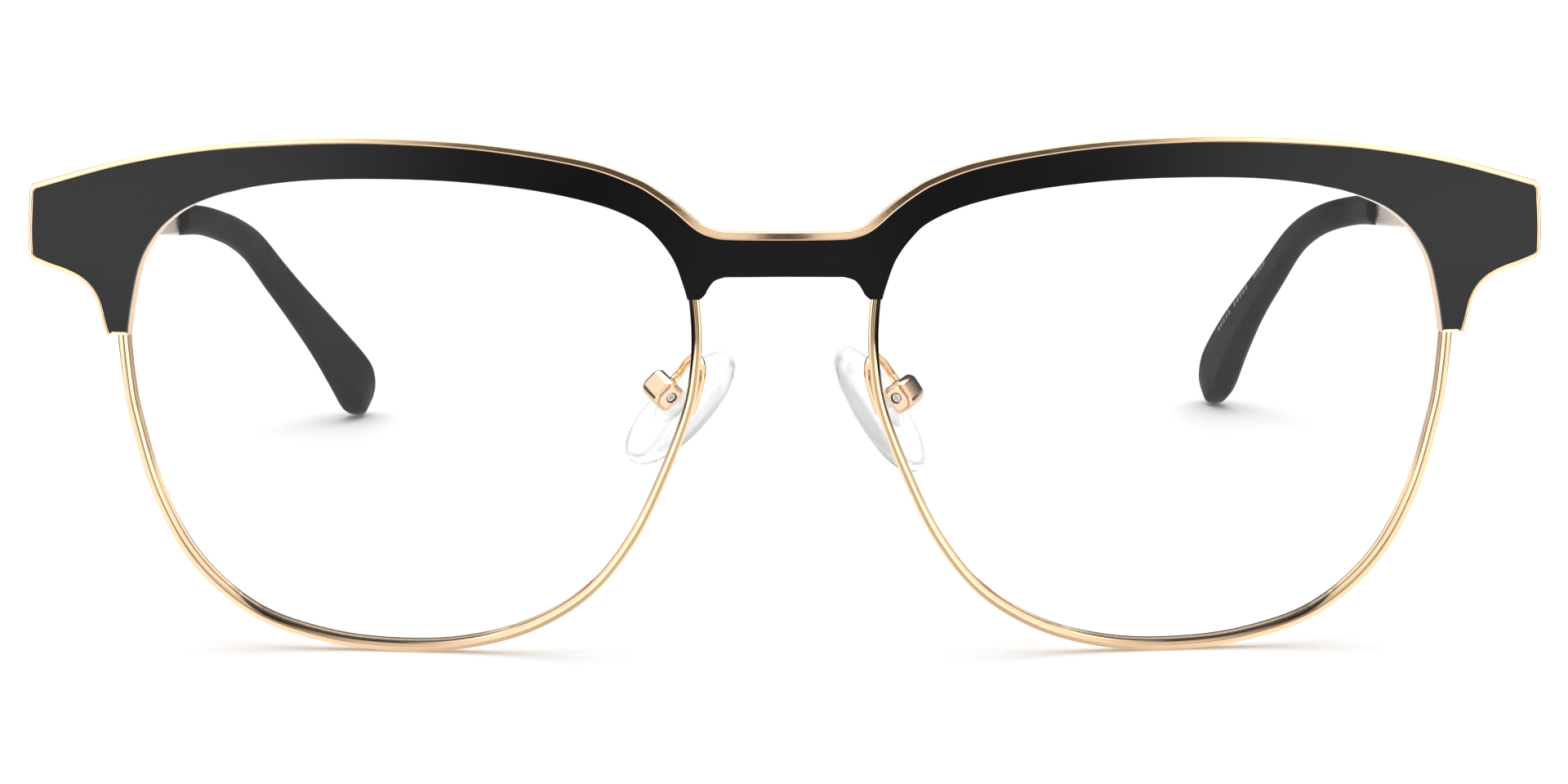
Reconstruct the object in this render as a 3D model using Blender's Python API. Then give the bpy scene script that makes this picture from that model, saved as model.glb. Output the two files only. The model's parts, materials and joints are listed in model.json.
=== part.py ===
"""Browline eyeglasses: a gold metal front with a black brow inlay, full metal rims, lenses,
screwed-on silicone nose pads, and folding temples with black tips.

Sizes are in millimetres until new_part() turns them into metres. In the design frame x runs
across the front (+x is the wearer's left), y runs back towards the temple tips, z is up, and
the two rims and the two tips stand on the floor. Every mirrored piece is made once per side.
"""
from math import cos, pi, radians, sin, sqrt

import bmesh
import bpy
from mathutils import Vector

MM = 0.001

# The curved front: flat-pattern sizes are laid on this surface.
WRAP_RADIUS = 324.0          # bend about the vertical, seen from above
SAG_RADIUS = 200.0           # bend about the horizontal, seen from the side
SAG_HEIGHT = 24.5            # height where the front stands vertical

# Where the object's origin lies in the design frame.
ORIGIN_Y = 71.97             # middle of the overall depth
FLOOR_Z = -0.4045            # underside of the rims and tips

# Layers of the front, as depths behind the curved surface.
PLATE_BACK = 1.9
RECESS_DEPTH = 0.78
INLAY_BACK = 0.68
BRIDGE_BORDER = 0.86         # widths of the gold edge round the inlay: over the bridge,
BROW_BORDER = 0.60           # along the brow
END_BORDER = 0.42            # and round the endpieces
BRIDGE_HALF = 8.0            # the border narrows from here
BORDER_EASE = 40.0           # to here, across
ENDPIECE_TOP = 44.5          # and below this height it is the endpiece's
JOINT_GAP = 0.06             # glue and braze line
RIM_FRONT = 1.96
RIM_BACK = 3.46
RIM_HALF_WIDTH = 0.5
GROOVE_DEPTH = 0.35
GROOVE_HALF_HEIGHT = 0.45
RIM_SPLIT_Z = 35.35          # where the rim opens to take the lens
RIM_SPLIT_HALF = 0.1

LENS_THICKNESS = 1.5
LENS_FRONT = 2.1
LENS_BULGE = 1.1             # extra crown at the lens centre
LENS_CENTRE = (36.5, 23.3)

# Nose pads: the box screw is the axis that the pad rocks about. The wearer's two pads are
# bent to their own angles: (screw, direction along the pad, direction the pad faces).
PAD_SETTING = {-1: ((11.7, 9.1, 24.65), (-0.70, 0.10, 0.71), (-0.55, 0.61, -0.57)),
               1: ((11.4, 9.1, 24.3), (-0.54, 0.10, 0.84), (-0.73, 0.47, -0.49))}
PAD_HALF_LENGTH = 7.1
PAD_HALF_WIDTH = 3.5
PAD_DROP = 0.2               # pad centre below the screw, along the pad
BOX_TOP = 1.3                # box beyond its screw, towards the arm
PAD_SCREW_RADIUS = 0.30
PAD_BORE_RADIUS = 0.37
ARM_RADIUS = 0.42

# Temple hinges: v runs back along the temple, w up along the hinge axis, u outwards.
HINGE = (68.4, 12.6, 41.0)
TEMPLE_SLOPE = radians(7.8)  # the temples fall towards the ears
FRONT_TURN = 0.216           # slope of the endpiece's back across the hinge
KNUCKLE_RADIUS = 1.35
KNUCKLE_HALF = 2.4
MIDDLE_HALF = 0.85
KNUCKLE_PLAY = 0.07
HINGE_SCREW_RADIUS = 0.50
HINGE_BORE_RADIUS = 0.57
LEAF_INNER = 0.72
BAR_INNER = 1.5
BAR_THICKNESS = 1.3
BAR_HEIGHT = 3.4
BAR_HINGE_HEIGHT = 5.0
CORE_THICKNESS = 1.0
CORE_HEIGHT = 1.6
BORE_PLAY = 0.15

# Outlines of the right-hand half (+x) of the flat front, as (x, z).
BROW_TOP = [(0, 41.2), (5, 41.25), (6.6, 41.45), (8, 42.1), (10, 43.8), (12, 45.25), (14, 46.35),
            (18, 47.75), (24, 48.85), (31, 49.6), (40, 49.88), (48, 49.6), (56, 48.85),
            (64, 47.35), (72.8, 44.85)]
BROW_END = [(73.05, 44.2), (73.25, 40.5), (73.2, 37.9)]
BROW_LOWER = [(72.7, 37.45), (71.2, 36.9), (69.6, 36.4), (68.2, 35.75), (67.1, 34.8),
              (66.4, 33.5), (66.0, 31.9), (65.6, 30.5)]
BROW_LENS_SIDE = [(63.5, 30.5), (63.38, 31.6), (62.98, 34.0), (62.25, 37.1), (61.2, 39.3),
                  (59.55, 41.35), (56.95, 43.15), (52.3, 44.74), (46.0, 45.7), (38.9, 45.98),
                  (31.1, 45.8), (23.5, 45.0), (17.5, 43.7), (13.8, 42.15), (12.0, 40.6),
                  (10.5, 38.5), (9.6, 36.1), (9.22, 34.78)]
BROW_NOSE_SIDE = [(8.05, 34.78), (7.55, 35.25), (7.2, 35.9), (6.6, 36.6), (5.6, 36.93)]
BRIDGE_UNDER = (0, 36.96)
NASAL_LIP = 0.18             # gold left showing under the inlay's nasal legs

# Middle of the rim, all the way round the lens from the split, as (x, z).
RIM_LINE = [(64.2, RIM_SPLIT_Z), (64.6, 31.5), (64.2, 26.0), (63.5, 22.0), (61.4, 14.6),
            (57.75, 7.9), (52.0, 2.9), (45.0, 0.5), (38.0, -0.25), (31.3, 0.15), (24.8, 2.0),
            (19.0, 5.7), (14.8, 11.05), (11.8, 17.2), (9.4, 23.6), (8.6, 28.0), (8.5, 32.0),
            (8.95, 36.0), (9.95, 38.8), (11.5, 41.05), (13.4, 42.65), (18.2, 44.6),
            (22.9, 45.65), (31.0, 46.55), (38.9, 46.75), (47.7, 46.15), (53.0, 45.2),
            (57.2, 43.5), (60.3, 41.4), (62.4, 39.0), (63.5, 37.0)]

# Pad arm past its box, as (x, depth behind the front surface, z): over and down behind the rim.
ARM_ROUTE = [(9.75, 8.2, 27.5), (9.05, 6.9, 28.25), (8.45, 5.6, 28.4), (8.1, 4.6, 27.9),
             (8.05, 4.02, 27.0), (8.3, 3.95, 25.8), (8.7, 3.95, 24.5), (9.15, 3.95, 23.2)]

# Temple tips: (x, y, z, thickness, height) of the stations from the mouth to the end. The
# wearer's two tips are bent a little differently, as a fitted pair is.
TIP_STATIONS = {
    -1: [(67.95, 85.0, 30.65, 2.9, 3.5), (66.0, 92.0, 29.6, 2.8, 3.3),
         (64.48, 97.5, 28.2, 2.6, 3.35), (63.08, 102.0, 26.65, 2.45, 3.45),
         (61.63, 107.2, 24.25, 2.4, 3.7), (59.8, 113.2, 20.0, 2.45, 4.0),
         (57.63, 119.2, 15.4, 2.6, 4.5), (55.18, 125.8, 10.2, 2.9, 5.5),
         (52.73, 131.2, 4.95, 3.2, 7.0), (52.1, 133.2, 2.9, 3.2, 6.8),
         (52.0, 134.3, 1.45, 2.9, 5.2), (52.0, 134.9, 0.444, 2.0, 3.2)],
    1: [(66.75, 88.0, 31.0, 2.9, 3.4), (65.15, 95.5, 30.0, 2.7, 3.3),
        (62.8, 101.0, 28.6, 2.5, 3.35), (61.08, 106.2, 26.75, 2.4, 3.4),
        (59.5, 112.0, 23.9, 2.35, 3.6), (57.85, 119.0, 19.2, 2.4, 4.1),
        (56.2, 125.6, 14.6, 2.6, 4.8), (54.75, 132.4, 9.7, 2.9, 6.1),
        (53.6, 138.1, 5.0, 3.1, 7.2), (53.1, 140.2, 2.98, 3.1, 6.7),
        (52.9, 141.4, 1.445, 2.9, 5.2), (52.8, 142.0, 0.431, 2.0, 3.2)]}
TIP_LEAN = {-1: radians(14.0), 1: radians(9.0)}   # the sleeve's face leans in over this much
LEAN_STATIONS = 5            # how many stations the lean takes to build up
CORE_STATIONS = 6            # how many of those stations the core wire reaches

GOLD = ("gold_metal", (0.84, 0.66, 0.47), 0.22, 1.0)
BLACK_ENAMEL = ("black_enamel", (0.03, 0.03, 0.031), 0.45, 0.0)
BLACK_ACETATE = ("black_acetate", (0.045, 0.045, 0.048), 0.5, 0.0)
STEEL = ("steel_screw", (0.72, 0.72, 0.72), 0.3, 1.0)
LENS_CLEAR = ("clear_lens", (0.95, 0.97, 0.98), 0.03, 0.0)
SILICONE = ("clear_silicone", (0.88, 0.92, 0.95), 0.12, 0.0)


# ---------------------------------------------------------------- small geometry helpers

def bend(x, y, z):
    """Lays a flat-pattern point, y behind the front, on the curved front."""
    turn = x / WRAP_RADIUS
    lean = (z - SAG_HEIGHT) / SAG_RADIUS
    surface = Vector((WRAP_RADIUS * sin(turn),
                      WRAP_RADIUS * (1 - cos(turn)) + SAG_RADIUS * (1 - cos(lean)),
                      SAG_HEIGHT + SAG_RADIUS * sin(lean)))
    inward = Vector((-sin(turn) * cos(lean), cos(turn) * cos(lean), -cos(turn) * sin(lean)))
    return surface + y * inward.normalized()


def spline(points, steps, closed=False):
    """Catmull-Rom curve through the points, with the given steps between two of them."""
    count = len(points)
    spans = count if closed else count - 1
    curve = []
    for i in range(spans):
        if closed:
            a, b, c, d = (Vector(points[(i + k) % count]) for k in (-1, 0, 1, 2))
        else:
            a, b, c, d = (Vector(points[min(max(i + k, 0), count - 1)]) for k in (-1, 0, 1, 2))
        for step in range(steps):
            t = step / steps
            curve.append(0.5 * (2 * b + (c - a) * t + (2 * a - 5 * b + 4 * c - d) * t * t
                                + (3 * b - a - 3 * c + d) * t ** 3))
    if not closed:
        curve.append(Vector(points[-1]))
    return curve


def inset(line, distance):
    """Moves an open line to the right of its travel, with mitred corners."""
    moved = []
    for i, point in enumerate(line):
        before = (point - line[i - 1]).normalized() if i else None
        after = (line[i + 1] - point).normalized() if i + 1 < len(line) else None
        before = before or after
        after = after or before
        mitre = Vector((before.y + after.y, -before.x - after.x)).normalized()
        reach = mitre.dot(Vector((after.y, -after.x)))
        moved.append(point + mitre * (distance / reach))
    return moved


def both_halves(half):
    """Closes a half outline that starts and ends on x = 0 with its mirror image."""
    return half + [Vector((-p.x, p.y)) for p in reversed(half[1:-1])]


def circle(radius, count, centre=(0.0, 0.0)):
    return [Vector((centre[0] + radius * cos(2 * pi * i / count),
                    centre[1] + radius * sin(2 * pi * i / count))) for i in range(count)]


def chamfered(width, height, cut):
    """A rectangle with its four corners cut off, as (across, up) points."""
    a, b = width / 2, height / 2
    return [Vector(p) for p in ((a, cut - b), (a, b - cut), (a - cut, b), (cut - a, b),
                                (-a, b - cut), (-a, cut - b), (cut - a, -b), (a - cut, -b))]


def frame_axes(length_dir, face_dir):
    """Three perpendicular unit vectors from two nearly perpendicular directions."""
    along = Vector(length_dir).normalized()
    face = Vector(face_dir)
    face = (face - face.dot(along) * along).normalized()
    return along, face, along.cross(face)


# ---------------------------------------------------------------- solids

def prism(outline, low, high, place):
    """Extrudes an (a, b) outline from low to high; place(a, b, c) gives each corner."""
    solid = bmesh.new()
    ends = [[solid.verts.new(place(p.x, p.y, level)) for p in outline] for level in (low, high)]
    solid.faces.new(ends[0])
    solid.faces.new(reversed(ends[1]))
    for i in range(len(outline)):
        j = (i + 1) % len(outline)
        solid.faces.new((ends[0][j], ends[0][i], ends[1][i], ends[1][j]))
    return solid


def loft(rings):
    """Closed skin through rings of equal length, with both ends capped."""
    solid = bmesh.new()
    loops = [[solid.verts.new(p) for p in ring] for ring in rings]
    for near, far in zip(loops, loops[1:]):
        skin_between(solid, near, far)
    solid.faces.new(reversed(loops[0]))
    solid.faces.new(loops[-1])
    return solid


def sleeve(outer_rings, inner_rings):
    """Closed skin with a blind bore that opens at the first ring."""
    solid = bmesh.new()
    outer = [[solid.verts.new(p) for p in ring] for ring in outer_rings]
    inner = [[solid.verts.new(p) for p in ring] for ring in inner_rings]
    skin_between(solid, inner[0], outer[0])
    for near, far in zip(outer, outer[1:]):
        skin_between(solid, near, far)
    solid.faces.new(outer[-1])
    for near, far in zip(inner, inner[1:]):
        skin_between(solid, far, near)
    solid.faces.new(reversed(inner[-1]))
    return solid


def skin_between(solid, near, far):
    for i in range(len(near)):
        j = (i + 1) % len(near)
        solid.faces.new((near[i], near[j], far[j], far[i]))


def lathe(profile, count, place):
    """Turns (radius, height) points about an axis; place(a, b, height) gives each corner."""
    rings = []
    for radius, height in profile:
        rings.append([place(p.x, p.y, height) for p in circle(radius, count)])
    return loft(rings)


def scratch(solid):
    """Turns a bmesh into a temporary object for a Boolean."""
    bmesh.ops.recalc_face_normals(solid, faces=solid.faces)
    mesh = bpy.data.meshes.new("scratch")
    solid.to_mesh(mesh)
    solid.free()
    thing = bpy.data.objects.new("scratch", mesh)
    bpy.context.scene.collection.objects.link(thing)
    return thing


def combine(base, tools):
    """Applies (operation, bmesh) tools to a bmesh in turn and returns the result."""
    body = scratch(base)
    for operation, solid in tools:
        tool = scratch(solid)
        modifier = body.modifiers.new("combine", "BOOLEAN")
        modifier.operation = operation
        modifier.object = tool
        modifier.solver = "EXACT"
        evaluated = body.evaluated_get(bpy.context.evaluated_depsgraph_get())
        result = bpy.data.meshes.new_from_object(evaluated)
        body.modifiers.clear()
        body.data = result
        bpy.data.objects.remove(tool)
    joined = bmesh.new()
    joined.from_mesh(body.data)
    bpy.data.objects.remove(body)
    return joined


def slice_and_bend(solid, spacing_x=6.0, spacing_z=5.0):
    """Cuts a flat solid into short facets and bends it onto the front surface."""
    for axis, spacing in ((0, spacing_x), (2, spacing_z)):
        values = [v.co[axis] for v in solid.verts]
        level = spacing * (int(min(values) / spacing) - 1.5)
        while level < max(values):
            level += spacing
            where = Vector((0, 0, 0))
            where[axis] = level
            facing = Vector((0, 0, 0))
            facing[axis] = 1
            geometry = solid.verts[:] + solid.edges[:] + solid.faces[:]
            bmesh.ops.bisect_plane(solid, geom=geometry, plane_co=where, plane_no=facing,
                                   dist=0.02)
    bmesh.ops.triangulate(solid, faces=solid.faces)
    for vertex in solid.verts:
        vertex.co = bend(*vertex.co)
    return solid


def new_part(name, solid, finish, pivot=(0.0, ORIGIN_Y, FLOOR_Z), smooth_angle=35.0):
    """Makes the named object in metres, with its origin at the pivot."""
    bmesh.ops.triangulate(solid, faces=solid.faces)
    bmesh.ops.recalc_face_normals(solid, faces=solid.faces)
    centre = Vector(pivot)
    for vertex in solid.verts:
        vertex.co = (vertex.co - centre) * MM
    mesh = bpy.data.meshes.new(name)
    solid.to_mesh(mesh)
    solid.free()
    mesh.shade_smooth()
    mesh.set_sharp_from_angle(angle=radians(smooth_angle))
    mesh.materials.append(material_for(name, finish))
    part = bpy.data.objects.new(name, mesh)
    part.location = (centre - Vector((0.0, ORIGIN_Y, FLOOR_Z))) * MM
    bpy.context.scene.collection.objects.link(part)
    return part


def material_for(name, finish):
    """Each part has its own Principled material in the finish it is made of."""
    slot, colour, roughness, metallic = finish
    material = bpy.data.materials.new(f"{name}_{slot}")
    material.use_nodes = True
    shader = material.node_tree.nodes["Principled BSDF"]
    shader.inputs["Base Color"].default_value = (*colour, 1.0)
    shader.inputs["Roughness"].default_value = roughness
    shader.inputs["Metallic"].default_value = metallic
    return material


# ---------------------------------------------------------------- the front

def gold_run():
    """The gold outer edge: along the brow top, round the endpiece, down to the leg's foot."""
    return spline(BROW_TOP, 2) + spline(BROW_END, 1) + spline(BROW_LOWER, 2)


def border_line(extra=0.0):
    """The inlay's outer edge: inside the gold run by the width that shows as gold."""
    run = gold_run()
    line = []
    for outer, inner in zip(run, inset(run, 1.0)):
        along = min(1.0, max(0.0, (outer.x - BRIDGE_HALF) / (BORDER_EASE - BRIDGE_HALF)))
        width = BRIDGE_BORDER + (BROW_BORDER - BRIDGE_BORDER) * along
        if outer.x > BORDER_EASE and outer.y < ENDPIECE_TOP:
            width = END_BORDER
        line.append(outer + (inner - outer) * (width + extra))
    return line


def flat(x, z, depth):
    return Vector((x, depth, z))


def brow_plate():
    """Gold plate from one endpiece over the bridge to the other, recessed for the inlay."""
    lens_side = spline(BROW_LENS_SIDE, 2)
    nose_side = spline(BROW_NOSE_SIDE, 2) + [Vector(BRIDGE_UNDER)]
    outline = both_halves(gold_run() + lens_side + nose_side)
    open_side = inset(lens_side, -1.0)[1:-1] + [Vector((8.6, 33.8))] + inset(nose_side, -1.0)[2:]
    recess = both_halves(border_line(-JOINT_GAP) + open_side)
    plate = prism(outline, 0.0, PLATE_BACK, flat)
    cut = combine(plate, [("DIFFERENCE", prism(recess, -1.0, RECESS_DEPTH, flat))])
    new_part("brow_plate", slice_and_bend(cut), GOLD)


def brow_inlay():
    """Black layer that fills the plate's recess and reaches the lens side of the brow."""
    lens_side = spline(BROW_LENS_SIDE, 2)[1:-1]
    foot = BROW_LENS_SIDE[-1]
    nasal = [Vector((foot[0] + 0.03, foot[1] + NASAL_LIP))]
    nasal.append(Vector((BROW_NOSE_SIDE[0][0] - 0.2, foot[1] + NASAL_LIP)))
    nose_side = spline(BROW_NOSE_SIDE, 2)[2:] + [Vector(BRIDGE_UNDER)]
    outline = both_halves(border_line() + lens_side + nasal + nose_side)
    inlay = prism(outline, 0.0, INLAY_BACK, flat)
    new_part("brow_inlay", slice_and_bend(inlay), BLACK_ENAMEL)


def outward_normals(curve):
    """Unit normals that point away from the lens, for a closed line round it."""
    normals = []
    count = len(curve)
    for i in range(count):
        travel = (curve[(i + 1) % count] - curve[i - 1]).normalized()
        normals.append(Vector((-travel.y, travel.x)))
    return normals


def rim_profile():
    """Section of the rim as (outward, depth), with the V groove that holds the lens."""
    half, middle = RIM_HALF_WIDTH, (RIM_FRONT + RIM_BACK) / 2
    return [(0.22, RIM_FRONT), (half, RIM_FRONT + 0.28), (half, RIM_BACK), (-half, RIM_BACK),
            (-half, middle + GROOVE_HALF_HEIGHT), (GROOVE_DEPTH - half, middle),
            (-half, middle - GROOVE_HALF_HEIGHT), (-half, RIM_FRONT + 0.28),
            (-0.22, RIM_FRONT)]


def eyewire(side, tag):
    """Metal rim swept round the lens, open at the split beside the rim lock."""
    curve = spline(RIM_LINE, 2, closed=True)
    normals = outward_normals(curve)
    start = curve[0] + (curve[1] - curve[0]).normalized() * RIM_SPLIT_HALF
    end = curve[0] + (curve[-1] - curve[0]).normalized() * RIM_SPLIT_HALF
    stations = list(zip([start] + curve[1:] + [end], normals + [normals[0]]))
    rings = []
    for point, normal in stations:
        ring = []
        for outward, depth in rim_profile():
            at = point + normal * outward
            ring.append(bend(side * at.x, depth, at.y))
        rings.append(ring)
    new_part(f"eyewire_{tag}", loft(rings), GOLD, smooth_angle=50.0)


def lens(side, tag):
    """Clear lens with a V edge that sits in the rim's groove."""
    curve = spline(RIM_LINE, 2, closed=True)[::2]
    normals = outward_normals(curve)
    centre = Vector(LENS_CENTRE)
    middle = (RIM_FRONT + RIM_BACK) / 2
    shoulder = -RIM_HALF_WIDTH - JOINT_GAP
    tip = GROOVE_DEPTH - RIM_HALF_WIDTH - 0.08
    slope = GROOVE_HALF_HEIGHT - 0.06
    back = LENS_FRONT + LENS_THICKNESS

    def ring(offset, scale, depth):
        crown = LENS_BULGE * (1 - scale * scale)
        points = []
        for point, normal in zip(curve, normals):
            at = centre + (point + normal * offset - centre) * scale
            points.append(bend(side * at.x, depth - crown, at.y))
        return points

    rings = [ring(shoulder, scale, LENS_FRONT) for scale in (0.04, 0.4, 0.72, 1.0)]
    rings += [ring(shoulder, 1.0, middle - slope), ring(tip, 1.0, middle),
              ring(shoulder, 1.0, middle + slope)]
    rings += [ring(shoulder, scale, back) for scale in (1.0, 0.72, 0.4, 0.04)]
    new_part(f"lens_{tag}", loft(rings), LENS_CLEAR, smooth_angle=20.0)


def rim_lock(side, tag):
    """Two small blocks brazed beside the rim's split, and the screw that closes them."""
    low_x, high_x = 65.2, 66.4
    near, far = 2.0, 4.5
    axis_x, axis_depth = (low_x + high_x) / 2, (near + far) / 2
    lower = (33.0, RIM_SPLIT_Z - RIM_SPLIT_HALF)
    upper = (RIM_SPLIT_Z + RIM_SPLIT_HALF, 37.6)
    shank, hole = 0.32, 0.38
    footprint = [Vector(p) for p in ((low_x, near), (high_x, near), (high_x, far), (low_x, far))]

    def place(x, depth, z):
        return bend(side * x, depth, z)

    def turned(profile):
        return lathe(profile, 12, lambda a, b, z: place(axis_x + a, axis_depth + b, z))

    block = combine(prism(footprint, *lower, place),
                    [("DIFFERENCE", turned([(hole, lower[0] - 1), (hole, lower[1] + 1)]))])
    new_part(f"rim_lock_lower_{tag}", block, GOLD)
    block = combine(prism(footprint, *upper, place),
                    [("DIFFERENCE", turned([(hole, upper[0] - 1), (hole, upper[1] - 0.4)]))])
    new_part(f"rim_lock_upper_{tag}", block, GOLD)
    head_top = lower[0] - JOINT_GAP
    screw = turned([(0.6, head_top - 0.45), (0.6, head_top), (shank, head_top),
                    (shank, upper[1] - 0.5)])
    new_part(f"rim_lock_screw_{tag}", screw, STEEL)


# ---------------------------------------------------------------- nose pads

def pad_place(side):
    """Returns place(width, along, face): pad-frame sizes to the design frame."""
    screw, length_dir, face_dir = PAD_SETTING[side]
    along, face, across = frame_axes(length_dir, face_dir)
    pivot = Vector(screw)

    def place(width, length, out):
        at = pivot + across * width + along * length + face * out
        return Vector((side * at.x, at.y, at.z))
    return place


def oval_rings(place, levels, half_width, half_length, count, shift):
    """Stacked ovals; levels are (width scale, length scale, height towards the nose)."""
    rings = []
    for wide, long, height in levels:
        rings.append([place(half_width * wide * cos(2 * pi * i / count),
                            half_length * long * sin(2 * pi * i / count) - shift, height)
                      for i in range(count)])
    return rings


def nose_pad(side, tag):
    """Soft oval pad with a flat middle where it lies on the nose."""
    place = pad_place(side)
    levels = [(0.80, 0.86, 2.4), (0.97, 0.98, 2.75), (1.0, 1.0, 3.3), (0.9, 0.94, 4.1),
              (0.6, 0.72, 4.65)]
    rings = oval_rings(place, levels, PAD_HALF_WIDTH, PAD_HALF_LENGTH, 22, PAD_DROP)
    new_part(f"nose_pad_{tag}", loft(rings), SILICONE, pivot=place(0, 0, 0), smooth_angle=60.0)


def pad_insert(side, tag):
    """Hard plate on the pad's back with the lug that the box screw passes through."""
    place = pad_place(side)
    plate = loft(oval_rings(place, [(1, 1, 1.9), (1, 1, 2.34)], 1.7, 2.7, 16, 0.0))
    lug_outline = [Vector(p) for p in ((-0.7, -0.75), (0.7, -0.75), (0.7, 2.1), (-0.7, 2.1))]
    lug = prism(lug_outline, -0.65, 0.65, lambda a, b, c: place(c, a, b))
    bore = lathe([(PAD_BORE_RADIUS, -2.0), (PAD_BORE_RADIUS, 2.0)], 12,
                 lambda a, b, c: place(c, a, b))
    solid = combine(plate, [("UNION", lug), ("DIFFERENCE", bore)])
    new_part(f"pad_insert_{tag}", solid, SILICONE, pivot=place(0, 0, 0))


def pad_box(side, tag):
    """Chamfered box that holds the pad's lug between its two cheeks."""
    place = pad_place(side)
    outline = [Vector(p) for p in ((-1.6, 1.2), (BOX_TOP, 1.2), (BOX_TOP, -0.85),
                                   (BOX_TOP - 0.5, -1.35), (-1.0, -1.35), (-1.6, -0.75))]
    pocket_outline = [Vector(p) for p in ((-1.1, 2.0), (1.0, 2.0), (1.0, -0.95), (-1.1, -0.95))]

    def across(a, b, c):
        return place(c, a, b)

    body = prism(outline, -1.6, 1.6, across)
    pocket = prism(pocket_outline, -0.75, 0.75, across)
    bore = lathe([(PAD_BORE_RADIUS, -2.0), (PAD_BORE_RADIUS, 1.0), (0.52, 1.0), (0.52, 2.0)],
                 12, across)
    new_part(f"pad_box_{tag}", combine(body, [("DIFFERENCE", pocket), ("DIFFERENCE", bore)]),
             GOLD)


def pad_screw(side, tag):
    """Small screw across the box; its head sits in the front cheek."""
    place = pad_place(side)
    profile = [(PAD_SCREW_RADIUS, -1.55), (PAD_SCREW_RADIUS, 1.06), (0.45, 1.06), (0.45, 1.5)]
    screw = lathe(profile, 12, lambda a, b, c: place(c, a, b))
    new_part(f"pad_screw_{tag}", screw, STEEL)


def tube(route, radius, count):
    """Round wire along a route of points."""
    rings = []
    side = Vector((0, 0, 1))
    for i, point in enumerate(route):
        travel = (route[min(i + 1, len(route) - 1)] - route[max(i - 1, 0)]).normalized()
        side = (side - side.dot(travel) * travel).normalized()
        up = travel.cross(side)
        rings.append([point + side * p.x + up * p.y for p in circle(radius, count)])
    return loft(rings)


def pad_arm(side, tag):
    """Wire arm from the pad box over and down behind the rim, where it is brazed."""
    place = pad_place(side)
    route = [place(0, BOX_TOP + distance, 0) for distance in (0.1, 0.9)]
    route += [bend(side * x, y, z) for x, y, z in ARM_ROUTE]
    new_part(f"pad_arm_{tag}", tube(spline(route, 2), ARM_RADIUS, 8), GOLD, smooth_angle=60.0)


# ---------------------------------------------------------------- temples and hinges

def hinge_place(side):
    """Returns place(u, v, w): hinge-frame sizes to the design frame."""
    centre = Vector(HINGE)
    back = Vector((0, cos(TEMPLE_SLOPE), -sin(TEMPLE_SLOPE)))
    axis = Vector((0, sin(TEMPLE_SLOPE), cos(TEMPLE_SLOPE)))

    def place(u, v, w):
        at = centre + Vector((u, 0, 0)) + back * v + axis * w
        return Vector((side * at.x, at.y, at.z))
    return place


def arc(radius, first, last, count):
    """Points on a circle round the hinge axis, with angles in degrees."""
    angles = [radians(first + (last - first) * i / count) for i in range(count + 1)]
    return [Vector((radius * cos(angle), radius * sin(angle))) for angle in angles]


def hinge_front_leaf(side, tag):
    """Leaf brazed behind the endpiece, with the upper and lower knuckles."""
    place = hinge_place(side)
    inner, outer = -4.0, 1.1
    front, back = -2.5, -1.5
    neck = sqrt(KNUCKLE_RADIUS ** 2 - outer ** 2)
    outline = [Vector((inner, front + FRONT_TURN * inner)),
               Vector((outer, front + FRONT_TURN * outer)), Vector((outer, -neck))]
    outline += arc(KNUCKLE_RADIUS, -30.0, 210.0, 12)
    outline += [Vector((-outer, -neck)), Vector((-outer, back - FRONT_TURN * outer)),
                Vector((inner, back + FRONT_TURN * inner))]
    slot_radius = KNUCKLE_RADIUS + 0.1
    slot_outline = circle(slot_radius, 16)
    above = [Vector(p) for p in ((-2.0, -0.4), (2.0, -0.4), (2.0, 2.0), (-2.0, 2.0))]
    tools = [("DIFFERENCE", prism(slot_outline, -MIDDLE_HALF, MIDDLE_HALF, place)),
             ("DIFFERENCE", prism(above, -MIDDLE_HALF, MIDDLE_HALF, place)),
             ("DIFFERENCE", lathe([(HINGE_BORE_RADIUS, -3.0), (HINGE_BORE_RADIUS, 3.0)],
                                  16, place))]
    leaf = combine(prism(outline, -KNUCKLE_HALF, KNUCKLE_HALF, place), tools)
    new_part(f"hinge_front_leaf_{tag}", leaf, GOLD)


def hinge_temple_leaf(side, tag):
    """Leaf brazed inside the temple bar, with the middle knuckle."""
    place = hinge_place(side)
    outer, reach, half = BAR_INNER - JOINT_GAP, 8.0, 1.75
    middle = MIDDLE_HALF - KNUCKLE_PLAY
    meet = sqrt(KNUCKLE_RADIUS ** 2 - LEAF_INNER ** 2)
    outline = [Vector((outer, -0.6)), Vector((outer, reach)), Vector((LEAF_INNER, reach)),
               Vector((LEAF_INNER, meet))]
    outline += arc(KNUCKLE_RADIUS, 65.0, 330.0, 13)
    room = [Vector(p) for p in ((-2.0, -2.0), (2.0, -2.0), (2.0, 1.6), (-2.0, 1.6))]
    tools = [("DIFFERENCE", prism(room, middle, half + 1, place)),
             ("DIFFERENCE", prism(room, -half - 1, -middle, place)),
             ("DIFFERENCE", lathe([(HINGE_BORE_RADIUS, -3.0), (HINGE_BORE_RADIUS, 3.0)],
                                  16, place))]
    leaf = combine(prism(outline, -half, half, place), tools)
    new_part(f"hinge_temple_leaf_{tag}", leaf, GOLD, pivot=place(0, 0, 0))


def hinge_screw(side, tag):
    """Screw down through the three knuckles: the axis that the temple folds about."""
    top = KNUCKLE_HALF + JOINT_GAP
    profile = [(HINGE_SCREW_RADIUS, -2.3), (HINGE_SCREW_RADIUS, top), (1.0, top),
               (1.0, top + 0.3), (0.75, top + 0.5)]
    screw = lathe(profile, 16, hinge_place(side))
    new_part(f"hinge_screw_{tag}", screw, STEEL)


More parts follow.
